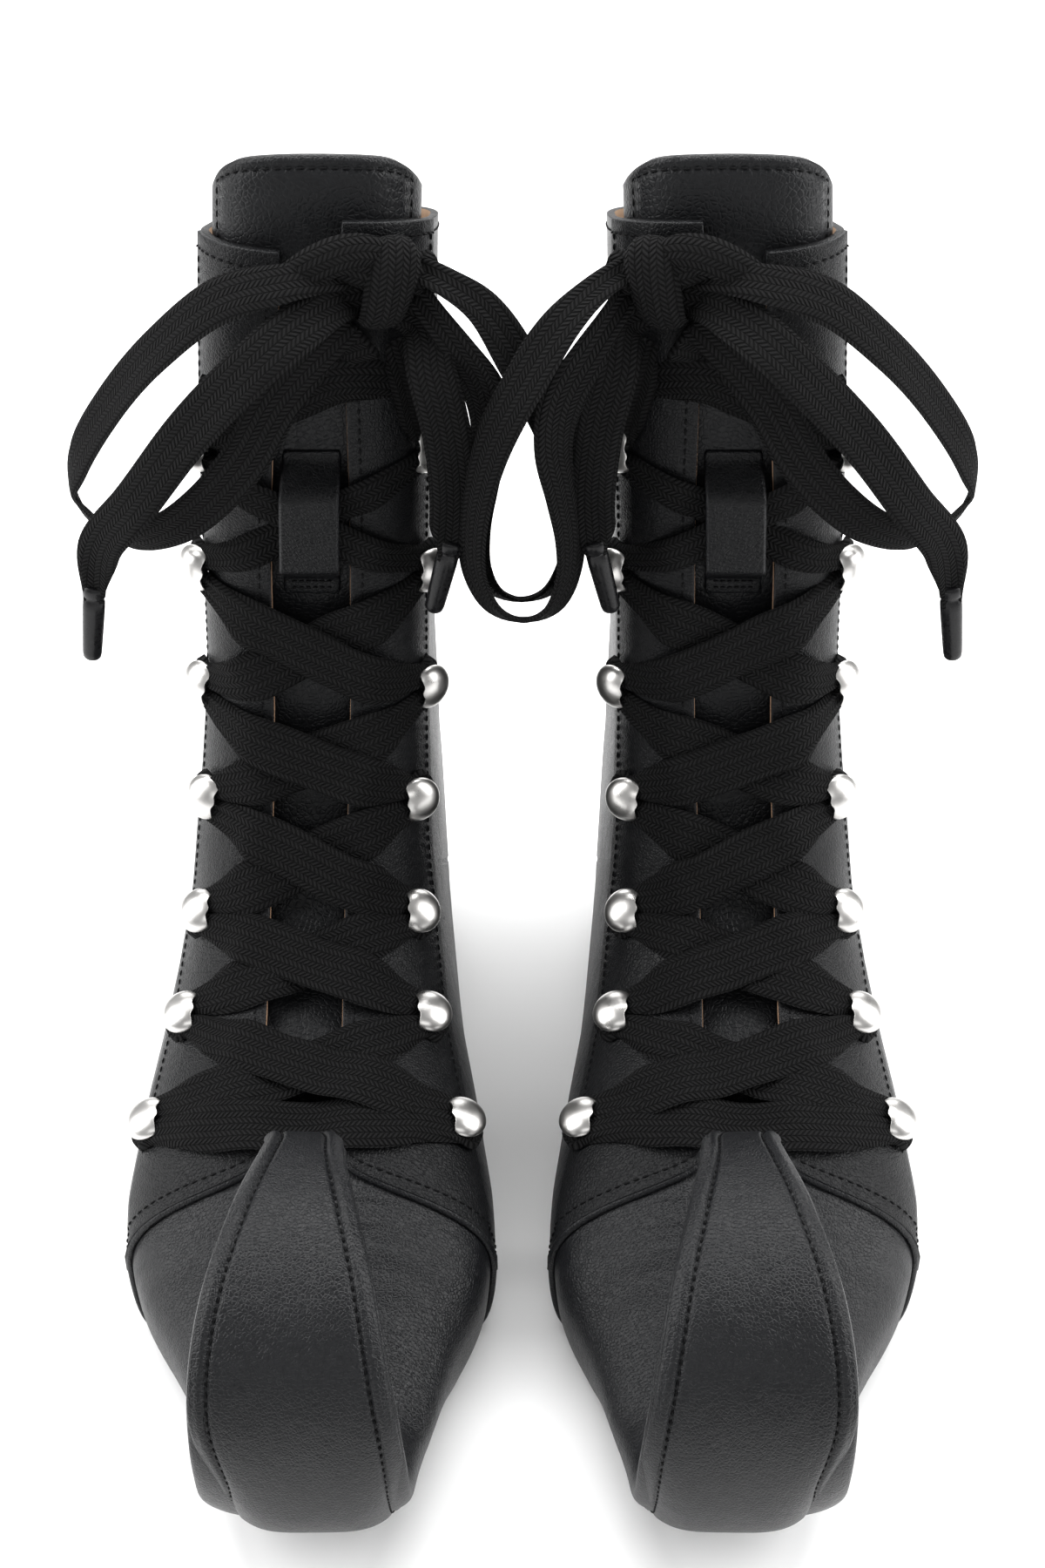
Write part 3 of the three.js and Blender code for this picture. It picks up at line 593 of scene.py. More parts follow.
LEATHER_BLACK = leather("smooth_black_leather", (0.0028, 0.003, 0.0038), (0.0078, 0.0084, 0.01), 0.4)
FACING_BLACK = leather("facing_black_leather", (0.003, 0.0031, 0.0036), (0.0072, 0.0076, 0.0086), 0.43,
                       1000.0, 0.6, 0.25, 0.16)
TONGUE_BLACK = leather("pebbled_black_leather", (0.0042, 0.0044, 0.005), (0.0105, 0.011, 0.0125), 0.4,
                       760.0, 0.6, 0.12, 0.17)
RAW_EDGE = simple("raw_leather_edge", (900.0, 5.0), (0.2, 0.11, 0.065), (0.4, 0.26, 0.17), 0.85,
                  ((1600.0, 3.0), 0.6, 0.0003), Specular_IOR_Level=0.25)
LINING_TAN = simple("lining_leather", (160.0, 5.0), (0.16, 0.1, 0.062), (0.27, 0.18, 0.115), 0.88,
                    ((1300.0, 4.0), 0.5, 0.0003), Specular_IOR_Level=0.25)
THREAD = simple("waxed_thread", (2600.0, 2.0), (0.001, 0.001, 0.0012), (0.0035, 0.0035, 0.004), 0.6,
                ((2600.0, 2.0), 0.5, 0.0001), Specular_IOR_Level=0.1)
COTTON = woven_cotton()
NICKEL = simple("polished_nickel", (320.0, 4.0), (0.5, 0.49, 0.475), (0.6, 0.59, 0.575), (0.27, 0.36),
                ((90.0, 1.0), 0.02, 0.0004), Metallic=1.0)
AGLET_BLACK = simple("aglet_plastic", (900.0, 3.0), (0.003, 0.003, 0.0034), (0.009, 0.009, 0.01),
                     (0.22, 0.42), ((500.0, 4.0), 0.18, 0.0003), Specular_IOR_Level=0.2)
RUBBER = sole_rubber()
# Each skin is a sheet's face, its edge and its back.
PLAIN_SKIN = [LEATHER_BLACK, LEATHER_BLACK, LINING_TAN]
PANEL_SKIN = [LEATHER_BLACK, FACING_BLACK, LINING_TAN]
FACING_SKIN = [FACING_BLACK, LEATHER_BLACK, LINING_TAN]
TONGUE_SKIN = [TONGUE_BLACK, LEATHER_BLACK, LINING_TAN]

# ---------------------------------------------------------------- studio

def area_light(name, location, target, size, power):
    data = bpy.data.lights.new(name, "AREA")
    data.shape = "RECTANGLE"
    data.size, data.size_y = size
    data.energy = power
    light = bpy.data.objects.new(name, data)
    bpy.context.scene.collection.objects.link(light)
    light.location = location
    light.rotation_euler = (Vector(target) - Vector(location)).to_track_quat("-Z", "Y").to_euler()


def studio():
    """A pale floor under five soft boxes: both sides, overhead, in front and behind."""
    floor_data = bpy.data.meshes.new("floor")
    reach = 6.0
    corners = [(-reach, -reach, 0), (reach, -reach, 0), (reach, reach, 0), (-reach, reach, 0)]
    floor_data.from_pydata(corners, [], [(0, 1, 2, 3)])
    floor = bpy.data.objects.new("floor", floor_data)
    bpy.context.scene.collection.objects.link(floor)
    n = Nodes("floor")
    n.colour(n.noise(3.0, 2.0), (0.95, 0.95, 0.95), (0.97, 0.97, 0.97))
    n.set(Roughness=0.9, Specular_IOR_Level=0.1)
    floor_data.materials.append(n.material)
    floor.location.z = -0.0002
    world = bpy.data.worlds.new("studio")
    bpy.context.scene.world = world
    world.use_nodes = True
    back = world.node_tree.nodes["Background"]
    back.inputs["Color"].default_value = (1, 1, 1, 1)
    back.inputs["Strength"].default_value = 0.4
    area_light("softbox_left", (-1.0, -0.1, 0.7), (0, 0, 0.1), (0.8, 1.2), 17)
    area_light("softbox_right", (1.0, -0.1, 0.7), (0, 0, 0.1), (0.8, 1.2), 17)
    area_light("softbox_top", (0, 0.35, 1.25), (0, -0.05, 0.1), (1.3, 0.5), 18)
    area_light("softbox_front", (0, -1.5, 0.9), (0, 0, 0.12), (1.3, 0.5), 4)
    area_light("softbox_back", (0, 1.1, 0.7), (0, 0, 0.15), (1.4, 0.5), 8)


studio()
bpy.context.scene.view_settings.view_transform = "Standard"

# ---------------------------------------------------------------- laces and cords

# Free lace routes of one boot: [outward, forward, height], then the way the lace's face looks there,
# [outward, forward, up].
OUTER_LOOP = [
    (-14.6, 111, 257.5), (0, 119, 259), (16, 117, 254), (32, 113, 240), (47, 106, 221), (57, 102, 205),
    (60, 100, 195), (55, 102, 187), (45, 109, 186), (33, 116, 193), (23, 119, 202), (13, 120, 214),
    (3, 119, 230), (-14.4, 111, 245.5),
]
OUTER_LOOP_FACES = [
    (0, 1, .4), (0, .8, .6), (.3, .7, .6), (.5, .6, .5), (.6, .6, .45), (.8, .5, .2),
    (1, .25, 0), (.5, .6, -.6), (0, .9, -.4), (-.2, 1, -.1), (-.2, 1, 0), (-.2, 1, .1),
    (-.1, 1, .3), (0, 1, .3),
]
OUTER_END = [
    (-14.5, 111.5, 251.5), (-4, 122, 250.5), (6, 127, 244), (25, 123, 223), (41, 121, 202), (51, 116, 188),
    (55, 112, 173),
]
OUTER_END_FACES = [
    (0, 1, .5), (0, .8, .6), (.2, .9, .4), (.3, 1, .3), (.35, 1, .3), (.3, 1, .3), (.1, 1, .1),
]
INNER_LOOP = [
    (-30.3, 109, 258), (-36.5, 113.5, 256), (-45, 117, 250), (-54.5, 118, 235), (-63, 116, 216),
    (-67, 114, 196), (-66.5, 112, 180), (-61.5, 112, 170), (-54, 111, 166.5), (-47, 112, 170),
    (-43, 113, 180), (-42.5, 114, 192), (-44.5, 115, 205), (-46.5, 116, 218), (-45, 117, 230),
    (-39, 117, 241.5), (-30.2, 109.5, 252),
]
INNER_LOOP_FACES = [
    (0, .9, .5), (-.3, .8, .6), (-.5, .8, .5), (-.7, .8, .3), (-.8, .8, .1),
    (-1, .7, 0), (-.9, .7, -.2), (-.5, .6, -.7), (0, .6, -1), (.5, .6, -.7),
    (.9, .7, -.2), (1, .8, 0), (.9, .8, .1), (.6, .9, .1), (.3, 1, -.1),
    (.1, 1, -.1), (0, 1, .1),
]
INNER_END = [
    (-30.5, 110, 245.5), (-33, 118, 236), (-36, 119, 222), (-37.5, 117, 204), (-36.5, 115, 188),
]
INNER_END_FACES = [(0, 1, .4), (-.1, 1, .3), (-.2, 1, .15), (-.25, 1, 0), (-.1, 1, 0)]
INNER_LOOP_LEAD = 5               # the inner loops cross between the boots, one in front of the other
OUTER_AGLET_TILT = (4, -2, -26)
INNER_AGLET_TILT = (6, -4, -26)
LACE_HALF = 6.0
LACE_THICKNESS = 1.6
BOOTS = (("left", -1), ("right", 1))


def centripetal(points, count):
    """Even steps along a centripetal Catmull-Rom curve through points."""
    p = np.asarray(points, float)
    p = np.vstack([2 * p[0] - p[1], p, 2 * p[-1] - p[-2]])
    fine = []
    for i in range(1, len(p) - 2):
        p0, p1, p2, p3 = p[i - 1:i + 3]
        t0 = 0.0
        t1 = t0 + np.linalg.norm(p1[:3] - p0[:3]) ** 0.5
        t2 = t1 + np.linalg.norm(p2[:3] - p1[:3]) ** 0.5
        t3 = t2 + np.linalg.norm(p3[:3] - p2[:3]) ** 0.5
        for t in np.linspace(t1, t2, 24, endpoint=False):
            a1 = (t1 - t) / (t1 - t0) * p0 + (t - t0) / (t1 - t0) * p1
            a2 = (t2 - t) / (t2 - t1) * p1 + (t - t1) / (t2 - t1) * p2
            a3 = (t3 - t) / (t3 - t2) * p2 + (t - t2) / (t3 - t2) * p3
            b1 = (t2 - t) / (t2 - t0) * a1 + (t - t0) / (t2 - t0) * a2
            b2 = (t3 - t) / (t3 - t1) * a2 + (t - t1) / (t3 - t1) * a3
            fine.append((t2 - t) / (t2 - t1) * b1 + (t - t1) / (t2 - t1) * b2)
    fine.append(p[-2])
    fine = np.array(fine)
    steps = np.concatenate([[0], np.cumsum(np.linalg.norm(np.diff(fine[:, :3], axis=0), axis=1))])
    at = np.linspace(0, steps[-1], count)
    return np.stack([np.interp(at, steps, fine[:, k]) for k in range(fine.shape[1])], axis=1), steps[-1]


def ribbon_section(cup, thickness, samples=9):
    """Ring of (across, off) for a flat woven lace: full edges, slightly cupped."""
    top, bottom = [], []
    for k in range(samples):
        x = -1 + 2 * k / (samples - 1)
        body = thickness / 2 * (0.82 + 0.28 * abs(x) ** 2) * math.sqrt(max(1 - abs(x) ** 7, 0.0))
        top.append((x, body + cup * x * x))
        bottom.append((x, -body + cup * x * x))
    return top + bottom[::-1]


def free_lace(name, side, route, faces, lead, half_at, body):
    """A flat lace along a route; half_at(t) is its half-width from 0 to 1 along it."""
    rows = [(x, f + lead * float(smooth(-x, 30, 50)), z, *face) for (x, f, z), face in zip(route, faces)]
    count = 6 * len(route) + 30
    line, length = centripetal(rows, count)
    widths = [half_at(i / (count - 1)) for i in range(count)]
    wobble = random.Random(name)
    phase, rate = wobble.uniform(0, 6), wobble.uniform(2.0, 3.2)

    def section(i):
        t = i / (count - 1)
        narrow = 1 - widths[i] / LACE_HALF
        cup = 0.5 * math.sin(phase + rate * 6 * t) + 1.6 * narrow
        return ribbon_section(cup, LACE_THICKNESS * (1 + 0.7 * narrow))

    made = swept(name, side, line[:, :3], widths, line[:, 3:6], section, [COTTON])
    finish_piece(made, "lace", body, name)
    return made, place(line[:, :3], side), length * MM


def aglet(name, side, start, tilt, body):
    """Moulded lace tip: a tube pinched flat where the lace enters, with a crimp ring and round end."""
    direction = np.array(tilt, float) / np.linalg.norm(tilt)
    profile = [(-1.5, 2.2), (-1.2, 2.9), (0, 3.0), (1.6, 2.95), (2.0, 2.55), (2.6, 2.5), (3.0, 2.85),
               (6, 2.9), (14, 2.7), (19.5, 2.55), (21.0, 2.35), (21.6, 1.9), (21.75, 0.9)]
    centres = [np.array(start) + direction * (GAP + z) for z, _ in profile]
    spokes = 20

    def section(i):
        r = profile[i][1]
        flat = mix(0.72, 0.86, smooth(profile[i][0], 0, 20))
        return [(math.cos(2 * math.pi * k / spokes) * r, math.sin(2 * math.pi * k / spokes) * r * flat)
                for k in range(spokes)]

    made = swept(name + "_tip", side, centres, [1.0] * len(centres), [(0, 1, 0)] * len(centres), section,
                 [AGLET_BLACK], False)
    return finish_piece(made, "aglet", body, name)


def bow(boot, side):
    """The two loops and the two ends of a bow, each a free stretch of one flat lace."""
    lead = INNER_LOOP_LEAD * side
    gather = lambda t: LACE_HALF * mix(0.55, 1, smooth(min(t, 1 - t), 0, 0.16))
    fade = lambda t: LACE_HALF * mix(0.6, 1, smooth(t, 0, 0.2)) * mix(1, 0.42, smooth(t, 0.84, 1))
    for part, route, faces, shift in (("bow_loop_outer", OUTER_LOOP, OUTER_LOOP_FACES, 0),
                                      ("bow_loop_inner", INNER_LOOP, INNER_LOOP_FACES, lead)):
        piece, path, length = free_lace(f"{boot}_{part}", side, route, faces, shift, gather, f"{boot}_boot")
    for part, route, faces, tilt in (("outer", OUTER_END, OUTER_END_FACES, OUTER_AGLET_TILT),
                                     ("inner", INNER_END, INNER_END_FACES, INNER_AGLET_TILT)):
        body = f"{boot}_lace_end_{part}"
        inside_knot = [(-20.5, 109, 249)]
        along = np.array(tilt, float) / np.linalg.norm(tilt)
        into_tip = [tuple(np.array(route[-1]) + along * 5)]
        full = inside_knot + route + into_tip
        facing = [faces[0]] + faces + [faces[-1]]
        piece, path, length = free_lace(f"{boot}_lace_end_{part}", side, full, facing, 0, fade, body)
        tip = aglet(f"{boot}_aglet_{part}", side, route[-1], tilt, body)
        tuple(place([route[0]], side)[0])


for boot_name, boot_side in BOOTS:
    bow(boot_name, boot_side)

# ---------------------------------------------------------------- the upper

FACING_LIFT = 1.0                 # the facings stand this far off the quarters
SEAM_HALF = [(1, 27.4), (3, 28.6), (4, 28.8), (5, 29.3), (6, 31.4), (8, 34.5), (9, 38), (10, 42.6),
             (11, 45.6), (11.7, 45.2)]
LOWER_SEAM_END = 1.96             # the quarters' lower seam stops this near the sole's middle, at 2
FACING_CORNER = 11.62             # station where the facings' outer seam meets their lower edge
SIDES = (("outer", 1), ("inner", -1))


def quarter_lift(s):
    """The quarters lap over the vamp towards their lower front edge."""
    return 0.9 * smooth(s, 8.8, 9.9)


def quarter_front(s):
    s = np.asarray(s, float)
    upper = param_at(s, facing_gap(s)).reshape(s.shape)
    return np.where(s <= FACING_END, upper, lower_seam(s))


def lower_seam(s):
    return np.minimum(vamp_edge(s), LOWER_SEAM_END)


def seam_stations(count, skip=0.0, end=QUARTER_END):
    """Stations down the quarters' lower seam, closer together towards the sole."""
    return end - (QUARTER_END - FACING_END - skip) * np.linspace(1, 0, count) ** 1.6


def seam_param(s):
    s = np.asarray(s, float)
    return param_at(s, np.interp(s, *zip(*SEAM_HALF))).reshape(s.shape)


def collar_dip(s, v, half):
    """Moves the stations near the collar down where the outer quarter is cut lower."""
    if half < 0:
        return s
    dip = mix(*OUTER_DIP, np.minimum(v * 2.5, 1)) * (1 - v ** 3)
    return np.where(s < 2, COLLAR + dip + (s - COLLAR) * (1 - dip), s)


def stitches(name, side, s, a, lift, body, **sizes):
    """Thread stitches along a line of the upper given by its parameters."""
    made = stitch_row(name, side, *seam_line(s, a, lift), **sizes)
    return finish_piece(made, "leather", body)


def rolled_edge(name, side, s, a, lift, radius, body, material):
    """A turned leather edge, a soft round bead along a line of the upper."""
    points, normal = seam_line(s, a, lift)
    spokes = 10
    turns = [2 * math.pi * k / spokes for k in range(spokes)]
    ring = [(math.cos(turn) * radius, math.sin(turn) * radius * 0.85) for turn in turns]
    count = len(points)
    from_end = [min(i, count - 1 - i, 3) for i in range(count)]
    taper = [max(math.sin(steps / 3 * math.pi / 2), 0.15) for steps in from_end]
    made = swept(name, side, points, [1.0] * count, normal,
                 lambda i: [(x * taper[i], y * taper[i]) for x, y in ring], [material], False)
    return finish_piece(made, "leather", body)


def quarter(boot, side, part, half):
    """One side of the upper, with its raised lacing facing and their seams."""
    body = f"{boot}_boot"
    name = f"{boot}_{part}"
    s_rows = np.concatenate([spread(COLLAR, HEEL_STATION, 70),
                             np.linspace(HEEL_STATION + 0.1, FACING_END, 34), seam_stations(44)[1:]])
    v = spread(0, 1, 46, 0.6)
    s, vv = np.meshgrid(s_rows, v, indexing="ij")
    back = np.where(s <= HEEL_STATION, backstay_edge(s) + 0.03, 2)
    a = mix(quarter_front(s), back, vv)
    made = leather_sheet(f"{name}_quarter_leather", side, collar_dip(s, vv, half), half * a,
                         quarter_lift(s), LEATHER, PANEL_SKIN, 0.12)
    finish_piece(made, "leather", body, f"{boot}_quarter_{part}")
    cut = np.linspace(COLLAR + (0.34 if half > 0 else 0.03), FACING_END - 0.05, 150)
    rolled_edge(f"{name}_raw_edge", side, cut, half * param_at(cut, facing_gap(cut)),
                quarter_lift(cut) - 0.5, 0.42, body, RAW_EDGE)

    facing_rows = np.concatenate([spread(COLLAR, FACING_END, 90),
                                  np.linspace(FACING_END, FACING_CORNER, 24)[1:]])
    s, vv = np.meshgrid(facing_rows, spread(0, 1, 26, 0.7), indexing="ij")
    front = quarter_front(s)
    a = mix(front, np.maximum(seam_param(s), front + 0.015), vv)
    made = leather_sheet(f"{name}_facing", side, collar_dip(s, vv * 0.4, half), half * a,
                         quarter_lift(s) + FACING_LIFT, FACING_LIFT + 0.2, FACING_SKIN, 0.3)
    finish_piece(made, "leather", body)
    line = np.linspace(COLLAR + 0.12, FACING_END, 160)
    for row, a_line in (("facing", param_at(line, facing_gap(line) + 2.6)),
                        ("seam", seam_param(line) - 0.05)):
        stitches(f"{name}_{row}_stitches", side, collar_dip(line, 0.09, half), half * a_line,
                 quarter_lift(line) + FACING_LIFT, body)
    collar_a = np.linspace(float(param_at(1.0, COLLAR_HALF_GAP)[0]) + 0.04, 1.62, 90)
    collar_s = collar_dip(np.full(90, COLLAR + 0.001), np.linspace(0, 1, 90), half) + 0.14
    stitches(f"{name}_collar_stitches", side, collar_s, half * collar_a,
             np.where(collar_a < 0.72, FACING_LIFT, 0.0), body)
    edge = seam_stations(120, 0.02)
    rolled_edge(f"{name}_lower_edge", side, edge, half * lower_seam(edge), 0.55, 1.25, body, LEATHER_BLACK)
    back_off = seam_stations(120, 0.2, QUARTER_END - 0.05)
    stitches(f"{name}_lower_stitches", side, back_off - 0.2, half * lower_seam(back_off),
             np.where(vamp_edge(back_off) < 0.8, FACING_LIFT + 0.9, 0.9), body)


def vamp(boot, side):
    """The forefoot and the horn of the toe, one leather, wrinkled a little where the foot bends."""
    s_rows = np.concatenate([np.linspace(10.15, QUARTER_END, 60), np.linspace(QUARTER_END + 0.04, TIP, 150)])
    s, vv = np.meshgrid(s_rows, np.linspace(-1, 1, 97), indexing="ij")
    tuck = param_at(FACING_END, FACING_HALF_GAP)[0]
    edge = np.where(s <= QUARTER_END, np.minimum(np.where(s < FACING_END, tuck, vamp_edge(s)) + 0.06, 2), 2)
    a = vv * edge
    bend = smooth(s, 10.4, 11.2) * (1 - smooth(s, 12.6, 13.6)) * np.exp(-(a / 0.75) ** 2)
    crease = 0.09 * np.sin(s * 13 + 1.4 * np.cos(a * 3.1)) * bend + 0.05 * np.sin(s * 31 + a * 5) * bend
    thickness = mix(LEATHER, 1.5, smooth(s, CURL_STATION, CURL_STATION + 3))
    made = leather_sheet(f"{boot}_vamp_leather", side, s, a, crease, thickness,
                         PLAIN_SKIN, 0.2)
    finish_piece(made, "leather", f"{boot}_boot", f"{boot}_vamp")


SEAM_IN = 3.6                     # the strip's seams run this far inside its edges


def strip_half(degrees):
    half = through(CURL_HALF_WIDTHS, np.ravel(degrees) / CURL_STEP).reshape(np.shape(degrees)) - STRIP_MARGIN
    return half - 1.6 * (1 - smooth(degrees, 85, 115))


def strip_points(degrees, across, lift=0.0):
    """Points of the toe strip's face: across runs from -1 to 1 between its edges."""
    over = smooth(degrees, 62, 118)
    crown = mix(8.5, 0.9, over) * np.abs(across) ** mix(4.0, 6.0, over)
    forward, height = on_curl(CURL_RADIUS - crown + lift, degrees)
    ring_forward, ring_height = on_curl(CURL_RADIUS, degrees)
    x = across * strip_half(np.minimum(degrees, CURL_END)) + centre_line(ring_forward, ring_height)
    x = x - 1.6 * (1 - smooth(degrees, 85, 120))
    return np.stack(np.broadcast_arrays(x, forward, height), axis=-1)


def toe_strip(boot, side):
    """The strip that runs from under the toe up and over the curl, seamed to the horn on both sides."""
    body = f"{boot}_boot"
    degrees, across = np.meshgrid(np.linspace(0, CURL_END + 2, 150), spread(-1, 1, 81, 0.75),
                                  indexing="ij")
    base = strip_points(degrees, across)
    normal = strip_points(degrees, across, 1.0) - base
    wave = 0.12 * np.sin(degrees * 0.11 + across * 2) * (1 - across ** 2)
    inset = (1 - np.abs(across)) * strip_half(degrees)
    seam = 0.35 * np.exp(-((inset - 1.7) / 1.1) ** 2) - 0.75 * np.exp(-((inset - SEAM_IN) / 0.55) ** 2)
    made = stacked_sheet(f"{boot}_toe_strip", side, base, normal, 0.3 + wave + seam, STRIP_THICKNESS,
                         PLAIN_SKIN, 0.45)
    finish_piece(made, "leather", body, f"{boot}_toe_curl")
    line = np.linspace(2, CURL_END, 220)
    for part, edge in SIDES:
        points = strip_points(line, edge * (1 - (SEAM_IN + 0.1) / strip_half(line)), -0.25)
        normals = strip_points(line, np.zeros(220), 1.0) - strip_points(line, np.zeros(220))
        made = stitch_row(f"{boot}_strip_stitches_{part}", side, points, normals, 2.3, 1.5, 0.24)
        finish_piece(made, "leather", body)


def heel_panel(boot, side):
    """The back panel, lapped over both quarters from the collar to the heel."""
    body = f"{boot}_boot"
    s, v = np.meshgrid(spread(COLLAR, HEEL_STATION - 0.03, 90), spread(-1, 1, 41, 0.6), indexing="ij")
    reach = 2 - backstay_edge(s)
    off = v * reach
    a = np.where(off >= 0, 2 - off, -(2 + off))
    made = leather_sheet(f"{boot}_back_panel", side, s, a, 0.9, LEATHER + 0.9, PANEL_SKIN, 0.12)
    finish_piece(made, "leather", body, f"{boot}_heel_counter")
    line = np.linspace(COLLAR + 0.1, HEEL_STATION - 0.12, 200)
    for part, half in SIDES:
        for row, inward in enumerate((0.035, 0.075)):
            stitches(f"{boot}_back_stitches_{part}_{row + 1}", side, line,
                     half * (backstay_edge(line) + inward), 0.9, body)


def tongue(boot, side):
    """The padded tongue: rounded top, stitched border, and its strap for the lace."""
    body = f"{boot}_tongue"

    def spot(u, v):
        drop = 0.1 * v ** 2 + 0.4 * np.abs(v) ** 9
        s = mix(drop, TONGUE_BASE, u)
        half = mix(27.9, 24.6, smooth(s, COLLAR, 3)) - 7 * smooth(s, 5, TONGUE_BASE)
        return s, np.sign(v) * param_at(s, np.abs(v) * half).reshape(np.shape(s))

    def sunk(s):
        return -(LEATHER + 2 * GAP + LINING * smooth(s, COLLAR, COLLAR + 1.6))

    u, v = np.meshgrid(spread(0, 1, 120, 0.4), spread(-1, 1, 45, 0.6), indexing="ij")
    s, a = spot(u, v)
    border = np.minimum(1 - np.abs(v), u * 9)
    pad = 0.5 * smooth(border, 0.06, 0.22) - 0.35 * np.exp(-((border - 0.1) / 0.03) ** 2)
    made = leather_sheet(f"{boot}_tongue_leather", side, s, a, sunk(s) + pad, TONGUE_THICKNESS + pad,
                         TONGUE_SKIN, 0.4)
    finish_piece(made, "tongue_leather", body, f"{boot}_tongue")
    sweep = np.concatenate([np.stack([np.linspace(0.5, 0.012, 120), np.full(120, -0.91)], 1),
                            np.stack([np.full(80, 0.012), np.linspace(-0.9, 0.9, 80)], 1),
                            np.stack([np.linspace(0.012, 0.5, 120), np.full(120, 0.91)], 1)])
    s, a = spot(sweep[:, 0], sweep[:, 1])
    stitches(f"{boot}_tongue_stitches", side, s, a, sunk(s) + 0.1, body)

    from_s, to_s, half = ROW_STATIONS[6] + 0.02, ROW_STATIONS[5] + 0.1, 6.7
    seat = LEATHER + LINING
    u, v = np.meshgrid(np.linspace(0, 1, 60), spread(-1, 1, 17, 0.7), indexing="ij")
    s = mix(from_s, to_s, u)
    bow_up = 9.4 * smooth(u, 0.02, 0.24) * (1 - smooth(u, 0.72, 0.92))
    made = leather_sheet(f"{boot}_lace_keeper", side, s, param_at(s, v * half).reshape(s.shape),
                         bow_up - seat + 0.8, LEATHER, FACING_SKIN, 0.4)
    finish_piece(made, "leather", body, f"{boot}_tongue_keeper")
    bar = np.full(24, to_s - 0.035)
    for row, shift in enumerate((0.0, -0.05)):
        stitches(f"{boot}_keeper_bar_{row + 1}", side, bar + shift, param_at(bar, np.linspace(-5.4, 5.4, 24)),
                 -seat + 0.85, body, pitch=1.8, length=1.4)


for boot_name, boot_side in BOOTS:
    for part_name, part_half in SIDES:
        quarter(boot_name, boot_side, part_name, part_half)
    vamp(boot_name, boot_side)
    toe_strip(boot_name, boot_side)
    heel_panel(boot_name, boot_side)
    tongue(boot_name, boot_side)

# ---------------------------------------------------------------- lacing, knots and hooks

NECK_RADIUS = 1.9
HOOK_RADIUS = 6.3
HOOK_TURN = 0.3                   # the hooks stand turned forward on the facings' round edge
WRAP_RADIUS = NECK_RADIUS + 2.2
WRAP_HALF = 3.3
LACE_LOW, LACE_HIGH, LACE_AT_HOOK = 2.0, 4.2, 2.2
ZIGZAG_HALF = 7.1
STRAND_STATION = 2.45             # the wide strand under the bow crosses here
KNOT_X, KNOT_TOP, KNOT_BOTTOM = -16.1, 1.1, 1.85


def leather_top(s, x):
    """Height of the leather that a lace lies on: the facings stand up, the tongue lies deeper."""
    on_facing = smooth(np.abs(x), facing_gap(s) - 3, facing_gap(s) + 2)
    return mix(-1.1, quarter_lift(s) + FACING_LIFT, on_facing)


def hook_frame(row, half):
    s = float(ROW_STATIONS[row])
    a = float(param_at(s, half * ROW_HALF_SPANS[row])[0])
    centre, _, down, normal = (v[0] for v in frames(s, a))
    outward = np.cross(down, normal)
    outward *= half * np.sign(outward[0]) / np.linalg.norm(outward)
    down = down - outward * np.dot(down, outward)
    return s, centre, outward, down / np.linalg.norm(down), normal


def lace_rows():
    """Rows of (position, normal, half-width, thickness) down one zigzag, over the bottom bar and up."""
    rows = []

    def add(position, normal, half, thickness):
        rows.append(np.concatenate([position, normal, [half, thickness]]))

    def lay(s, x, height, half, thickness):
        a = param_at(s, x)
        centre, _, _, normal = (v[0] for v in frames(s, a))
        add(centre + normal * (height + float(leather_top(s, x))), normal, half, thickness)

    def wrap(row, half, downwards):
        s, centre, outward, down, normal = hook_frame(row, half)
        angles = (-120, -70, 0, 70, 120) if downwards else (120, 70, 0, -70, -120)
        for degrees in angles:
            angle = math.radians(degrees)
            lift = LACE_AT_HOOK + float(quarter_lift(s)) + 0.5
            around = outward * WRAP_RADIUS * math.cos(angle) + down * WRAP_RADIUS * math.sin(angle)
            add(centre + around + normal * lift, normal, WRAP_HALF, 2.4)

    def cross(start, end, over, middle_half):
        (s0, x0), (s1, x1) = start, end
        for u in (0.13, 0.22, 0.34, 0.46, 0.54, 0.66, 0.78, 0.87):
            middle = 1 - abs(2 * u - 1)
            raised = float(smooth(middle, 0.25, 0.62))
            height = mix(LACE_AT_HOOK - 0.6, LACE_HIGH if over else LACE_LOW, raised)
            half = mix(WRAP_HALF, middle_half, float(smooth(middle, 0.05, 0.4)))
            lay(mix(s0, s1, u), mix(x0, x1, u), height, half, mix(2.2, LACE_THICKNESS, raised))

    top = len(ROW_STATIONS) - 1
    spans = [(float(s), span) for s, span in zip(ROW_STATIONS, ROW_HALF_SPANS)]
    down_run = [(row, 1 if (top - row) % 2 == 0 else -1, True) for row in range(top, -1, -1)]
    up_run = [(row, -1 if (top - row) % 2 == 0 else 1, False) for row in range(top + 1)]
    last = (KNOT_BOTTOM + 0.1, KNOT_X + 3.5)
    lay(*last, LACE_HIGH + 1, 6.0, 2.0)
    for row, half, downwards in down_run + up_run:
        s, span = spans[row]
        entry = (s - 0.1 if downwards else s + 0.1, half * (span - 1))
        over = half < 0 if downwards else half > 0
        kept = row == top - 1 if downwards else row == top
        if row == 0 and not downwards:
            over, entry = False, (s, half * (span - 1))
        cross(last, entry, over, 4.6 if kept else ZIGZAG_HALF)
        wrap(row, half, downwards)
        last = (s + 0.1 if downwards else s - 0.1, half * (span - 1))
    end = (KNOT_BOTTOM + 0.12, KNOT_X - 3.5)
    for u in (0.2, 0.4, 0.6, 0.8, 1.0):
        lay(mix(last[0], end[0], u), mix(last[1], end[1], u), mix(2.0, LACE_HIGH, u),
            mix(4.5, ZIGZAG_HALF, math.sin(math.pi * u)), LACE_THICKNESS)
    return rows


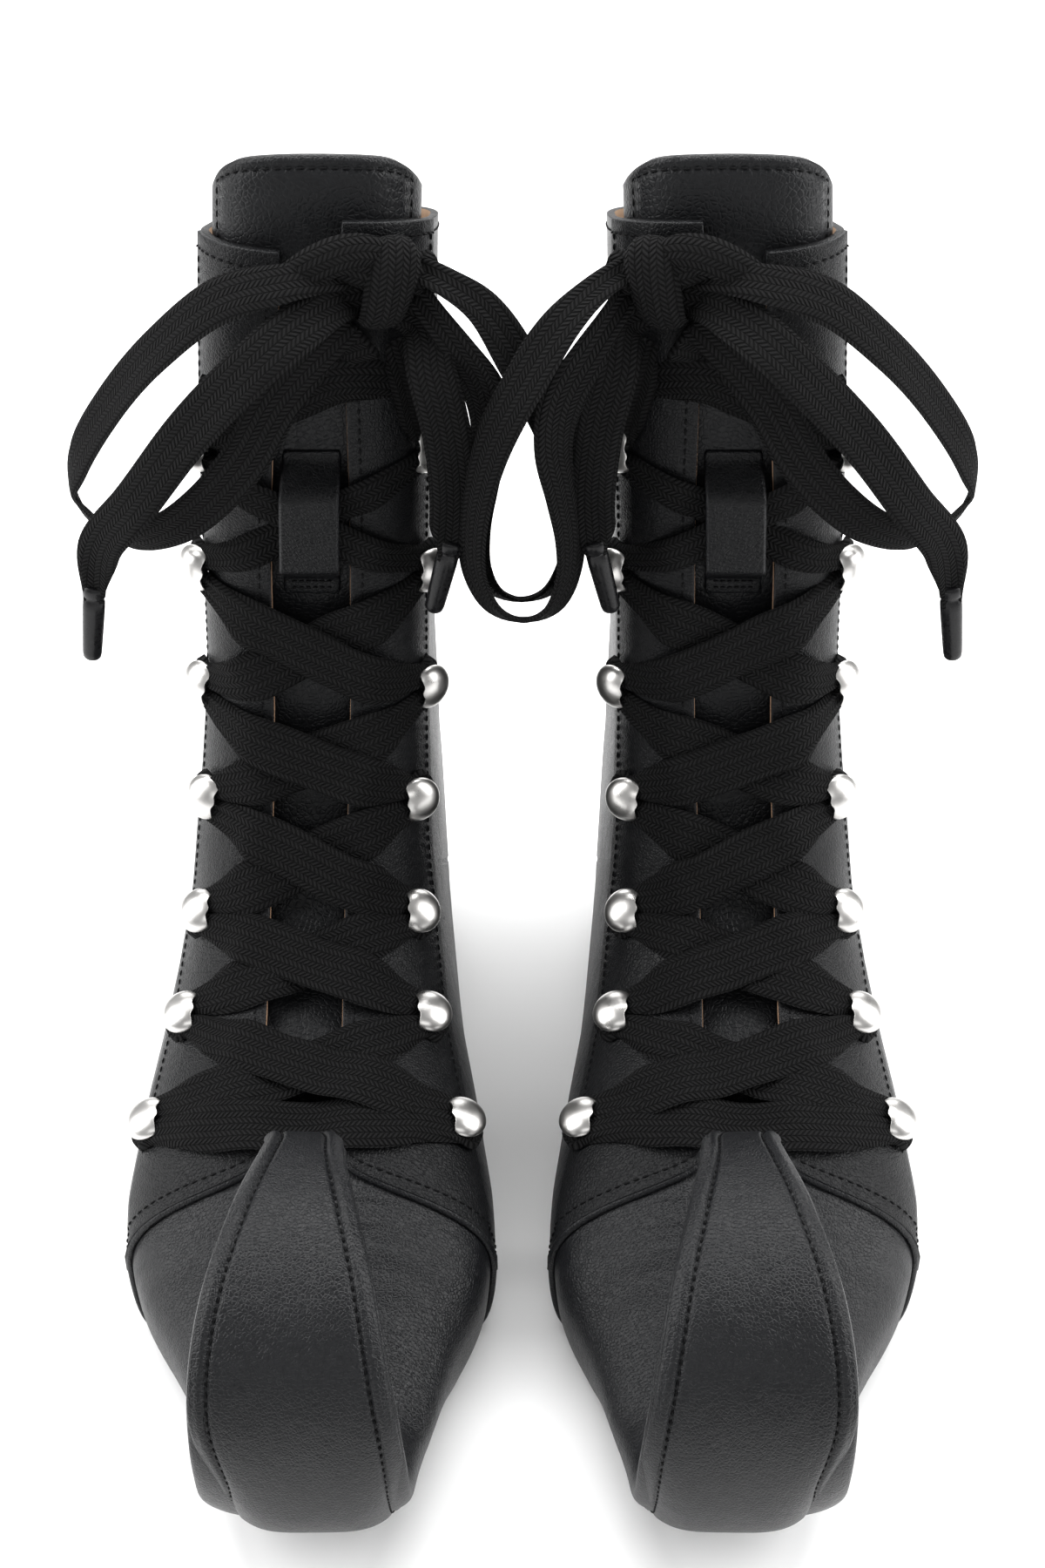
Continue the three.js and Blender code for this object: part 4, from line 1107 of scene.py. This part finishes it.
def lacing(boot, side):
    line, length = centripetal(lace_rows(), 1150)
    wobble = random.Random(boot)
    phases = [wobble.uniform(0, 6) for _ in range(3)]
    normals = line[:, 3:6] / np.linalg.norm(line[:, 3:6], axis=1, keepdims=True)
    count = len(line)

    def section(i):
        along = i / count * length
        narrow = float(np.clip(1 - line[i, 6] / LACE_HALF, 0, 1))
        cup = 0.35 * math.sin(along * 0.11 + phases[0]) - 1.1 * narrow
        tilt = 0.07 * math.sin(along * 0.083 + phases[1]) + 0.05 * math.sin(along * 0.31 + phases[2])
        ring = ribbon_section(cup, line[i, 7])
        fold = 0.5 * narrow
        return [(x, off + tilt * x * line[i, 6] + fold * math.cos(x * 9)) for x, off in ring]

    made = swept(f"{boot}_zigzag_lace", side, line[:, :3], line[:, 6], normals, section, [COTTON])
    finish_piece(made, "lace", f"{boot}_boot", f"{boot}_lacing")


def lace_band(name, side, points, faces, half, thickness, cup, body, count=60):
    rows = [np.concatenate([p, f]) for p, f in zip(points, faces)]
    line, _ = centripetal(rows, count)
    made = swept(name, side, line[:, :3], [half(i / (count - 1)) for i in range(count)], line[:, 3:6],
                 lambda i: ribbon_section(cup, thickness), [COTTON])
    return finish_piece(made, "lace", body)


def knot(boot, side):
    """The bow's knot: one wide turn over the gathered loops, a fold above it and a strand below."""
    s = (KNOT_TOP + KNOT_BOTTOM) / 2
    centre, _, down, normal = (v[0] for v in frames(s, param_at(s, KNOT_X)))
    outward = np.cross(down, normal)
    outward *= np.sign(outward[0])
    body = f"{boot}_boot"
    middle = centre + normal * 6.6
    turn, facing = [], []
    for degrees in range(-170, 171, 20):
        angle = math.radians(degrees)
        ease = 1 + 0.08 * math.cos(2 * angle)
        turn.append(middle + down * 11.2 * ease * math.sin(angle) + normal * 5.6 * math.cos(angle)
                    + outward * 1.6 * math.sin(angle))
        facing.append(down * math.sin(angle) + normal * (0.45 * math.cos(angle) + 0.0001))
    lace_band(f"{boot}_knot_turn", side, turn, facing, lambda t: 5.2 + 1.1 * math.sin(math.pi * t) ** 2,
              2.0, -1.9, body)
    for name_end, height, shift, tilt in (("under", 2.4, 1.5, 0.3), ("over", 5.2, -2.5, -0.25)):
        path = [middle + outward * x + down * (shift + tilt * x)
                + normal * (height - 5.4 + 3.0 * (1 - (x / 13) ** 2)) for x in (-13, -8, -3, 3, 8, 13)]
        lace_band(f"{boot}_knot_gather_{name_end}", side, path, [normal] * 6,
                  lambda t: 3.6 + 1.6 * math.sin(math.pi * t), 3.4, -1.6, body, 40)
    hump = [middle + outward * x + down * y + normal * z
            for x, y, z in ((0, -7, 2), (5, -9, 3), (11, -8.5, 2.6), (17, -6, 1.5), (22, -3, 0),
                            (26, 0, -2.5))]
    lace_band(f"{boot}_knot_fold", side, hump, [normal + down * -0.3] * 6,
              lambda t: 3.0 + 1.6 * math.sin(math.pi * t), LACE_THICKNESS, -1.1, body, 40)
    strand, normals = [], []
    for x in (-23, -16, -8, 0, 8, 16, 23):
        a = float(param_at(STRAND_STATION, x)[0])
        _, forward, height = local_surface(STRAND_STATION + 0.12 * math.sin(x / 8), a)[0]
        normals.append(frames(STRAND_STATION, a)[3][0])
        strand.append(np.array([x, forward, height]) + normals[-1] * 2.6)
    lace_band(f"{boot}_lace_under_bow", side, strand, normals, lambda t: 4.5 + 2.2 * math.sin(math.pi * t),
              LACE_THICKNESS, -0.6, body, 50)


def dome_rim(angle):
    """The rim is torn back on the inner side, where the lace slips under; angle is 0 there."""
    cut = 0.6 * HOOK_RADIUS * (1 + 0.08 * math.cos(angle * 6)) / max(math.cos(angle), 0.1)
    return (HOOK_RADIUS ** -14 + max(cut, 0.1) ** -14) ** (-1 / 14)


def hook_mesh():
    """Vertices (inward, down, off the leather) and faces of one speed hook: dome, neck and foot."""
    spokes = 48
    vertices, faces = [], []

    def ring(radius_at, z_at):
        start = len(vertices)
        for k in range(spokes):
            angle = 2 * math.pi * k / spokes
            turned = (angle + math.pi) % (2 * math.pi) - math.pi
            r = radius_at(turned)
            vertices.append((r * math.cos(angle), r * math.sin(angle), z_at(r)))
        return start

    def bridge(first, second):
        for k in range(spokes):
            j = (k + 1) % spokes
            faces.append((first + k, first + j, second + j, second + k))

    def shell(rings):
        starts = [ring(*r) for r in rings]
        for first, second in zip(starts, starts[1:]):
            bridge(first, second)
        faces.append(tuple(starts[0] + k for k in reversed(range(spokes))))
        faces.append(tuple(starts[-1] + k for k in range(spokes)))

    rim_z, dome_height, wall = 3.7, 3.6, 0.7

    def dome_z(r):
        return rim_z + dome_height * math.sqrt(max(1 - (r / (HOOK_RADIUS + 0.12)) ** 2, 0))

    outside = [(share, 0) for share in (0.04, 0.15, 0.3, 0.45, 0.6, 0.72, 0.82, 0.9, 0.95, 0.98, 1.0)]
    lip = [(1.0, 0.25), (0.985, 0.5), (0.95, 0.7), (0.9, wall)]
    inside = [(share, wall + 0.1) for share in (0.82, 0.7, 0.5, 0.35)]
    shell([(lambda t, share=share: dome_rim(t) * share, lambda r, fall=fall: dome_z(r) - fall)
           for share, fall in outside + lip + inside])
    neck = [(2.05, 6.4), (1.95, 5.0), (1.9, 3.0), (1.95, 1.6), (2.5, 1.15), (4.3, 1.0), (4.5, 0.85),
            (4.5, 0.4)]
    shell([(lambda t, r=r: r, lambda _, z=z: z) for r, z in neck])
    return np.array(vertices), faces


HOOK_MESH = hook_mesh()


def speed_hooks(boot, side):
    vertices, faces = HOOK_MESH
    for part, half in SIDES:
        for row in range(len(ROW_STATIONS)):
            s, centre, outward, _, normal = hook_frame(row, half)
            seat = centre + normal * (float(quarter_lift(s)) + 0.5)
            axis = normal * (HOOK_TURN, 1, 1)
            axis /= np.linalg.norm(axis)
            inward = -outward + axis * np.dot(outward, axis)
            inward /= np.linalg.norm(inward)
            axes = np.array([inward, np.cross(inward, axis) * half, axis])
            made = to_object(f"{boot}_speed_hook_{part}_{row + 1}", place(seat + vertices @ axes, side),
                             faces, [NICKEL])
            finish_piece(made, "hook", f"{boot}_boot", f"{boot}_hook_{part}_{row + 1}")

# ---------------------------------------------------------------- soles

def sole_half_width(inset):
    """Forward stops and half-widths of the foot's outline, from its heel."""
    stations = np.arange(HEEL_STATION, CURL_STATION + 0.1, 0.25)
    table = through(TABLE, stations)
    forward, half = table[:, 2], np.maximum(table[:, 6] - inset, 0)
    heel = forward[0] + inset
    joins = int(np.argmax(stations >= HEEL_STATION + 0.5))
    turn = np.linspace(0, math.pi / 2, 14)
    arc_forward = mix(forward[joins], heel, np.cos(turn))
    arc_half = half[joins] * np.sin(turn)
    keep = forward[joins + 1:] <= CURL_CENTRE[0] - 4 * inset
    return (np.concatenate([arc_forward, forward[joins + 1:][keep]]),
            np.concatenate([arc_half, half[joins + 1:][keep]]))


def sole_layer(name, side, inset, top, thickness, materials, slot, body, node):
    forward, half = sole_half_width(inset)
    fine = np.concatenate([forward[:14], np.linspace(forward[14], forward[-1], 90)])
    widths = np.maximum(np.interp(fine, forward, half), 0.05)
    across = spread(-1, 1, 33, 0.7)
    x = widths[:, None] * across + centre_line(fine, np.zeros_like(fine))[:, None]
    base = np.stack([x, np.broadcast_to(fine[:, None], x.shape), np.full(x.shape, top)], axis=-1)
    up = np.zeros_like(base)
    up[..., 2] = 1
    made = stacked_sheet(name, side, base, up, 0.0, thickness, materials, 0.1)
    return finish_piece(made, slot, body, node)


for boot_name, boot_side in BOOTS:
    lacing(boot_name, boot_side)
    knot(boot_name, boot_side)
    speed_hooks(boot_name, boot_side)
    sole_layer(f"{boot_name}_sole_rubber", boot_side, 0.0, SOLE, SOLE, [RUBBER], "sole",
               f"{boot_name}_boot", f"{boot_name}_outsole")
    sole_layer(f"{boot_name}_sock_liner", boot_side, LEATHER + 2 * LINING, UPPER_BASE + INSOLE, INSOLE,
               [LINING_TAN], "sock", f"{boot_name}_boot", f"{boot_name}_insole")
